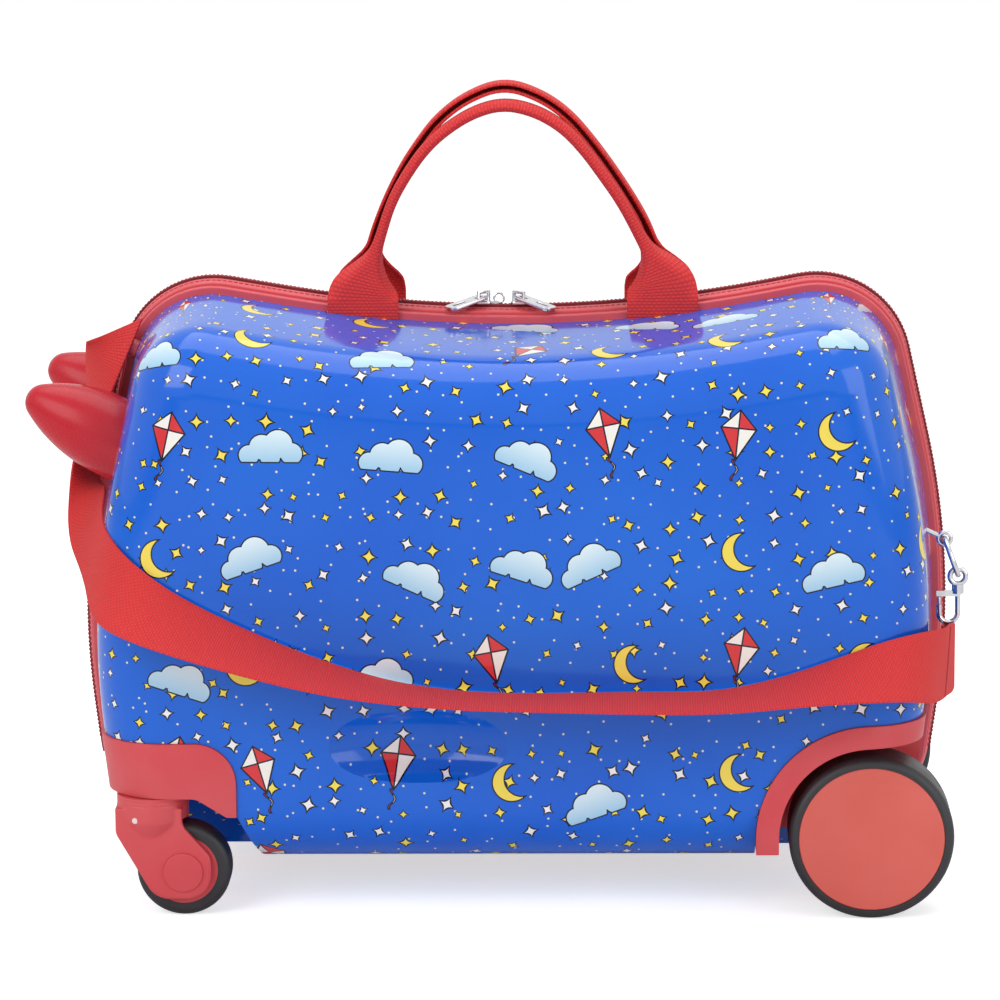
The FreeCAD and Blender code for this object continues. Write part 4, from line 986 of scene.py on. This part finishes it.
# X from the handle's middle, Z, and the share of the full width that lies flat
HANDLE_ROUTES = {
    "left": [
        (-79, 316, 1), (-79, 318, 1), (-78.4, 323.5, 0.88), (-76.6, 330, 0.45), (-73.2, 339, 0.05),
        (-69.5, 350, 0), (-63.5, 368.5, 0), (-54.5, 384, 0), (-45, 397, 0), (-34, 407, 0),
        (-19.5, 416, 0), (-3.5, 420.5, 0), (13, 417, 0), (28, 408.5, 0), (39.5, 396.5, 0),
        (50, 382, 0), (60, 367.5, 0), (68.5, 351, 0), (74, 341, 0.06), (78.5, 332.5, 0.48),
        (81, 325.5, 0.9), (81.5, 319, 1), (81.5, 316, 1),
    ],
    "right": [
        (-76.5, 316, 1), (-76.5, 319, 1), (-76.3, 326, 0.9), (-75.8, 333, 0.48),
        (-74.6, 341.5, 0.06), (-72.5, 352, 0), (-67, 366, 0), (-58, 384, 0), (-49, 397.5, 0),
        (-39, 410.5, 0), (-23.5, 422.5, 0), (-3, 430, 0), (17, 423, 0), (31.5, 412.5, 0),
        (43, 399, 0), (54, 384, 0), (64.5, 368, 0), (72.5, 354, 0), (76.5, 341.5, 0.06),
        (79, 333, 0.48), (80, 326, 0.9), (80, 319, 1), (80, 316, 1),
    ],
}
# Middle of the handles along X, their distance from the zip, and how much more that is at the tabs
HANDLE_X, HANDLE_Y, HANDLE_SPREAD = 10, 17, 1.6
# Width of the folded grip, the softness of the fold, and the points across
GRIP, FOLD_SOFT, HANDLE_STEPS = 2.8, 1.8, 24
# A route's third value rides along its spline as a height of up to this
SHARE_HEIGHT = 100
HANDLE_EDGE = 0.5 * MM
# Rows from the case's top down to the tabs' lower edges, how far past them the webbing goes, and
# how near to a tab's side a corner of it lies
SEWN_STEPS, SEWN_PAST, TAB_NEAR = (0.34, 0.67, 1.0), 0.4, 0.6
HANDLE_RIB, HANDLE_YARN = 1.7, 1.3


def folded(width, share):
    """Points across a webbing whose two sides fold inwards, as (across, inwards)."""
    seen = GRIP + (width - GRIP) * share
    flat = GRIP / 2 + (width - GRIP) / 2 * share * 0.6
    legs = width / 2 - flat
    bend = math.acos(clamp((seen / 2 - flat) / legs)) if legs > 0.1 else 0.0
    step, across, inward = width / HANDLE_STEPS, 0.0, 0.0
    half = [(0.0, 0.0)]
    for i in range(HANDLE_STEPS // 2):
        over = (i + 0.5) * step - flat + FOLD_SOFT
        angle = bend * clamp(over / (2 * FOLD_SOFT))
        across += math.cos(angle) * step
        inward += math.sin(angle) * step
        half.append((across, inward))
    return [(-across, inward) for across, inward in reversed(half[1:])] + half


def handle_rows(side, width):
    """Rows of points across a handle's webbing along its route, and their marks, in metres."""
    line = spline_points([Vector((x, z, share * SHARE_HEIGHT)) * MM
                          for x, z, share in HANDLE_ROUTES[side]], 6)
    last = len(line) - 1
    rows, marks = [], []
    for number, (spot, run) in enumerate(zip(line, walked([spot.xy for spot in line]))):
        share = clamp(spot.z / (SHARE_HEIGHT * MM))
        along = (line[min(number + 1, last)] - line[max(number - 1, 0)]).xy.normalized()
        if number in (0, last):
            along = Vector((0, 1 if number == 0 else -1))
        row, mark = [], []
        for i, (across, inward) in enumerate(folded(width / MM, share)):
            x = HANDLE_X * MM + spot.x + along.y * across * MM
            y = SIDES[side] * (HANDLE_Y + HANDLE_SPREAD * share - inward) * MM
            z = spot.y - along.x * across * MM
            row.append(Vector((x, y, z)))
            mark.append((run, (i / HANDLE_STEPS - 0.5) * width))
        rows.append(row)
        marks.append(mark)
    return rows, marks


def sew_in(rows, marks, tabs):
    """Carries both ends of a handle's webbing down to the lower edges of its sewn tabs."""
    for at_end in (False, True):
        top, top_mark = (rows[-1], marks[-1]) if at_end else (rows[0], marks[0])
        reach = [spot for spot in tabs if (spot.x > HANDLE_X * MM) == at_end]
        low, high = min(spot.x for spot in reach), max(spot.x for spot in reach)
        feet = [min(spot.z for spot in reach if abs(spot.x - x) < TAB_NEAR * MM)
                for x in (low, high)]
        for step in SEWN_STEPS:
            row, mark = [], []
            for spot, (run, across) in zip(top, top_mark):
                share = (spot.x - low) / (high - low)
                foot = feet[0] + (feet[1] - feet[0]) * share - SEWN_PAST * MM
                z = spot.z + (foot - spot.z) * step
                row.append(Vector((spot.x, spot.y, z)))
                mark.append((run + (spot.z - z) * (1 if at_end else -1), across))
            place = len(rows) if at_end else 0
            rows.insert(place, row)
            marks.insert(place, mark)


class SUITCASE_OT_handles(bpy.types.Operator):
    """Folds the two webbing carry handles and sews them into the case"""

    bl_idname = "suitcase.handles"
    bl_label = "Carry handles"

    def execute(self, context):
        sizes, colours = context.scene.suitcase_sizes, context.scene.suitcase_colours
        weave = webbing_material(
            "woven_polyester_handle", colours.webbing, HANDLE_RIB, HANDLE_YARN)
        for side in SIDES:
            rows, marks = handle_rows(side, sizes.handle_width)
            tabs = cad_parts[side + "_handle_tabs"].data.vertices
            sew_in(rows, marks, [vertex.co for vertex in tabs])
            strip = webbing_band(
                side + "_handle_webbing", rows, marks, sizes.handle_thickness, HANDLE_EDGE, 50)
            wear(strip, weave)
            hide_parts(side + "_carry_handle", side + "_handle_tabs")
            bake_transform(strip)
        return {"FINISHED"}


# Horns, wheels and fittings

# The moulded forks: fineness, height that their soft forms end at, play round the pin, rivet's ends
FORK_GRAIN, FORK_TOP, PIN_PLAY, RIVET_PROUD = 0.55 * MM, 59 * MM, 0.3 * MM, 0.5 * MM
# A place well outside a fork that is looked inwards from
OUTSIDE = 60 * MM


def mould(piece):
    """Melts the joins of a fork below its crown into one moulded form with soft hollows."""
    finish_with(piece, "REMESH", mode="VOXEL", voxel_size=FORK_GRAIN)
    soft = piece.vertex_groups.new(name="soft")
    soft.add([vertex.index for vertex in piece.data.vertices if vertex.co.z < FORK_TOP], 1.0, "ADD")
    finish_with(piece, "SMOOTH", factor=0.5, iterations=22, vertex_group="soft")
    finish_with(piece, "DECIMATE", ratio=0.4)
    piece.vertex_groups.clear()


def ream(piece, pin):
    """Opens the bore of a moulded piece until the shank of an upright pin runs clear in it."""
    spots = [vertex.co for vertex in pin.data.vertices]
    low = min(spot.z for spot in spots)
    shank = [spot.xy for spot in spots if spot.z - low < 0.1 * MM]
    axis = Vector([(min(spot[i] for spot in shank) + max(spot[i] for spot in shank)) / 2
                   for i in range(2)])
    bore = max((spot - axis).length for spot in shank) + PIN_PLAY
    for vertex in piece.data.vertices:
        away = vertex.co.xy - axis
        if vertex.co.z > low - PIN_PLAY and away.length < bore:
            vertex.co.xy = axis + away.normalized() * bore


def show_ends(pin, holder):
    """Lengthens a pin that lies along Y until both ends stand a little proud of its holder."""
    spots = [vertex.co for vertex in pin.data.vertices]
    middle = sum(spots, Vector()) / len(spots)
    bpy.context.view_layer.update()
    for way in SIDES.values():
        start = middle + Vector((0, way * OUTSIDE, 0))
        found, spot, *_ = holder.ray_cast(start, Vector((0, -way, 0)))
        if not found:
            raise RuntimeError("nothing holds " + pin.name)
        short = spot.y + way * RIVET_PROUD - way * max(way * co.y for co in spots)
        for co in spots:
            if (co.y - middle.y) * way > 0:
                co.y += short


class SUITCASE_OT_horns(bpy.types.Operator):
    """Finishes the two grip horns"""

    bl_idname = "suitcase.horns"
    bl_label = "Grip horns"

    def execute(self, context):
        colours = context.scene.suitcase_colours
        satin = moulded_plastic_material(
            "satin_polypropylene", colours.horn, 1.2, 0.22, 0.3, 0.012, shine=0.25)
        for side in SIDES:
            dress(side + "_horn", side + "_half", "horn_red", satin)
            repaint(bpy.data.materials["turned_steel"], side + "_horn_screw")
        return {"FINISHED"}


class SUITCASE_OT_rear_wheels(bpy.types.Operator):
    """Finishes the rear wheels and their arches"""

    bl_idname = "suitcase.rear_wheels"
    bl_label = "Rear wheels"

    def execute(self, context):
        sizes, colours = context.scene.suitcase_sizes, context.scene.suitcase_colours
        plastic = bpy.data.materials["moulded_polypropylene"]
        rubber = bpy.data.materials["thermoplastic_rubber"]
        steel = bpy.data.materials["turned_steel"]
        matt = moulded_plastic_material("matt_polypropylene", colours.disc, 0.9, 0.5, 0.68, 0.12)
        for side in SIDES:
            wheel = side + "_rear_wheel"
            dress(side + "_wheel_arch", side + "_half", "red_plastic", plastic, sizes.edge)
            dress(side + "_wheel_disc", wheel, "wheel_red", matt)
            dress(side + "_rear_tyre", wheel, "dark_tyre", rubber)
            repaint(steel, side + "_rear_axle", side + "_arch_screws")
            repaint(plastic, side + "_wheel_spacer")
        return {"FINISHED"}


class SUITCASE_OT_casters(bpy.types.Operator):
    """Finishes the casters and their corner brackets"""

    bl_idname = "suitcase.casters"
    bl_label = "Casters"

    def execute(self, context):
        sizes = context.scene.suitcase_sizes
        plastic = bpy.data.materials["moulded_polypropylene"]
        rubber = bpy.data.materials["thermoplastic_rubber"]
        steel = bpy.data.materials["turned_steel"]
        white = moulded_plastic_material("white_acetal", linear("E8E6E2"), 0.8, 0.3, 0.4, 0.03)
        for side in SIDES:
            caster = side + "_caster"
            dress(side + "_caster_bracket", side + "_half", "red_plastic", plastic, sizes.edge)
            fork = own_copy(side + "_caster_fork", side + "_caster_fork_piece")
            mould(fork)
            ream(fork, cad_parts[side + "_king_pin"])
            smooth(fork, 40)
            settle(fork, caster, "red_plastic", plastic, side + "_caster_fork")
            dress(side + "_caster_caps", caster, "red_plastic", plastic)
            rivet = dress(side + "_fork_rivet", caster, "white_plastic", white, 0.4 * MM)
            show_ends(rivet, fork)
            dress(side + "_caster_tyre", side + "_caster_wheel", "dark_tyre", rubber)
            repaint(plastic, side + "_caster_hub")
            repaint(steel, side + "_king_pin", side + "_caster_axle")
        return {"FINISHED"}


class SUITCASE_OT_fittings(bpy.types.Operator):
    """Finishes the strap's post, ring, eyelet and hook, and the hinge underneath"""

    bl_idname = "suitcase.fittings"
    bl_label = "Fittings"

    def execute(self, context):
        chrome = bpy.data.materials["chromed_zinc"]
        steel = bpy.data.materials["turned_steel"]
        plastic = bpy.data.materials["moulded_polypropylene"]
        dress("front_strap_post", "left_half", "red_plastic", plastic, 0.5 * MM)
        for name in ("rear_strap_ring", "rear_ring_eyelet", "snap_hook"):
            dress(name, "left_half", "chromed", chrome)
        dress("snap_hook_gate", "hook_gate", "chromed", chrome)
        repaint(steel, "left_hinge_leaf", "right_hinge_leaf", "hinge_pin")
        return {"FINISHED"}


class SUITCASE_PT_panel(bpy.types.Panel):
    """Lists the suitcase's settings and the steps that build it"""

    bl_idname = "SUITCASE_PT_panel"
    bl_label = "Ride-on suitcase"
    bl_space_type = "VIEW_3D"
    bl_region_type = "UI"
    bl_category = "Suitcase"

    def draw(self, context):
        for group in GROUPS:
            settings = getattr(context.scene, group)
            column = self.layout.column()
            for name in settings.__annotations__:
                column.prop(settings, name)
        column = self.layout.column()
        for step in STEPS:
            column.operator(step.bl_idname)


GROUPS = {
    "suitcase_colours": SuitcaseColours,
    "suitcase_sizes": SuitcaseSizes,
    "suitcase_stage": SuitcaseStage,
}
STEPS = (
    SUITCASE_OT_stage, SUITCASE_OT_shells, SUITCASE_OT_zip, SUITCASE_OT_handles,
    SUITCASE_OT_horns, SUITCASE_OT_rear_wheels, SUITCASE_OT_casters, SUITCASE_OT_fittings,
    SUITCASE_OT_tow_strap,
)


def register():
    for name, group in GROUPS.items():
        bpy.utils.register_class(group)
        setattr(bpy.types.Scene, name, bpy.props.PointerProperty(type=group))
    for kind in (*STEPS, SUITCASE_PT_panel):
        bpy.utils.register_class(kind)


def unregister():
    for kind in reversed((*STEPS, SUITCASE_PT_panel)):
        bpy.utils.unregister_class(kind)
    for name, group in reversed(GROUPS.items()):
        delattr(bpy.types.Scene, name)
        bpy.utils.unregister_class(group)


def main():
    register()
    shared_materials(bpy.context.scene.suitcase_colours)
    bpy.ops.suitcase.stage()
    bpy.ops.suitcase.shells()
    bpy.ops.suitcase.zip()
    bpy.ops.suitcase.handles()
    bpy.ops.suitcase.horns()
    bpy.ops.suitcase.rear_wheels()
    bpy.ops.suitcase.casters()
    bpy.ops.suitcase.fittings()
    bpy.ops.suitcase.tow_strap()


if __name__ == "__main__":
    main()
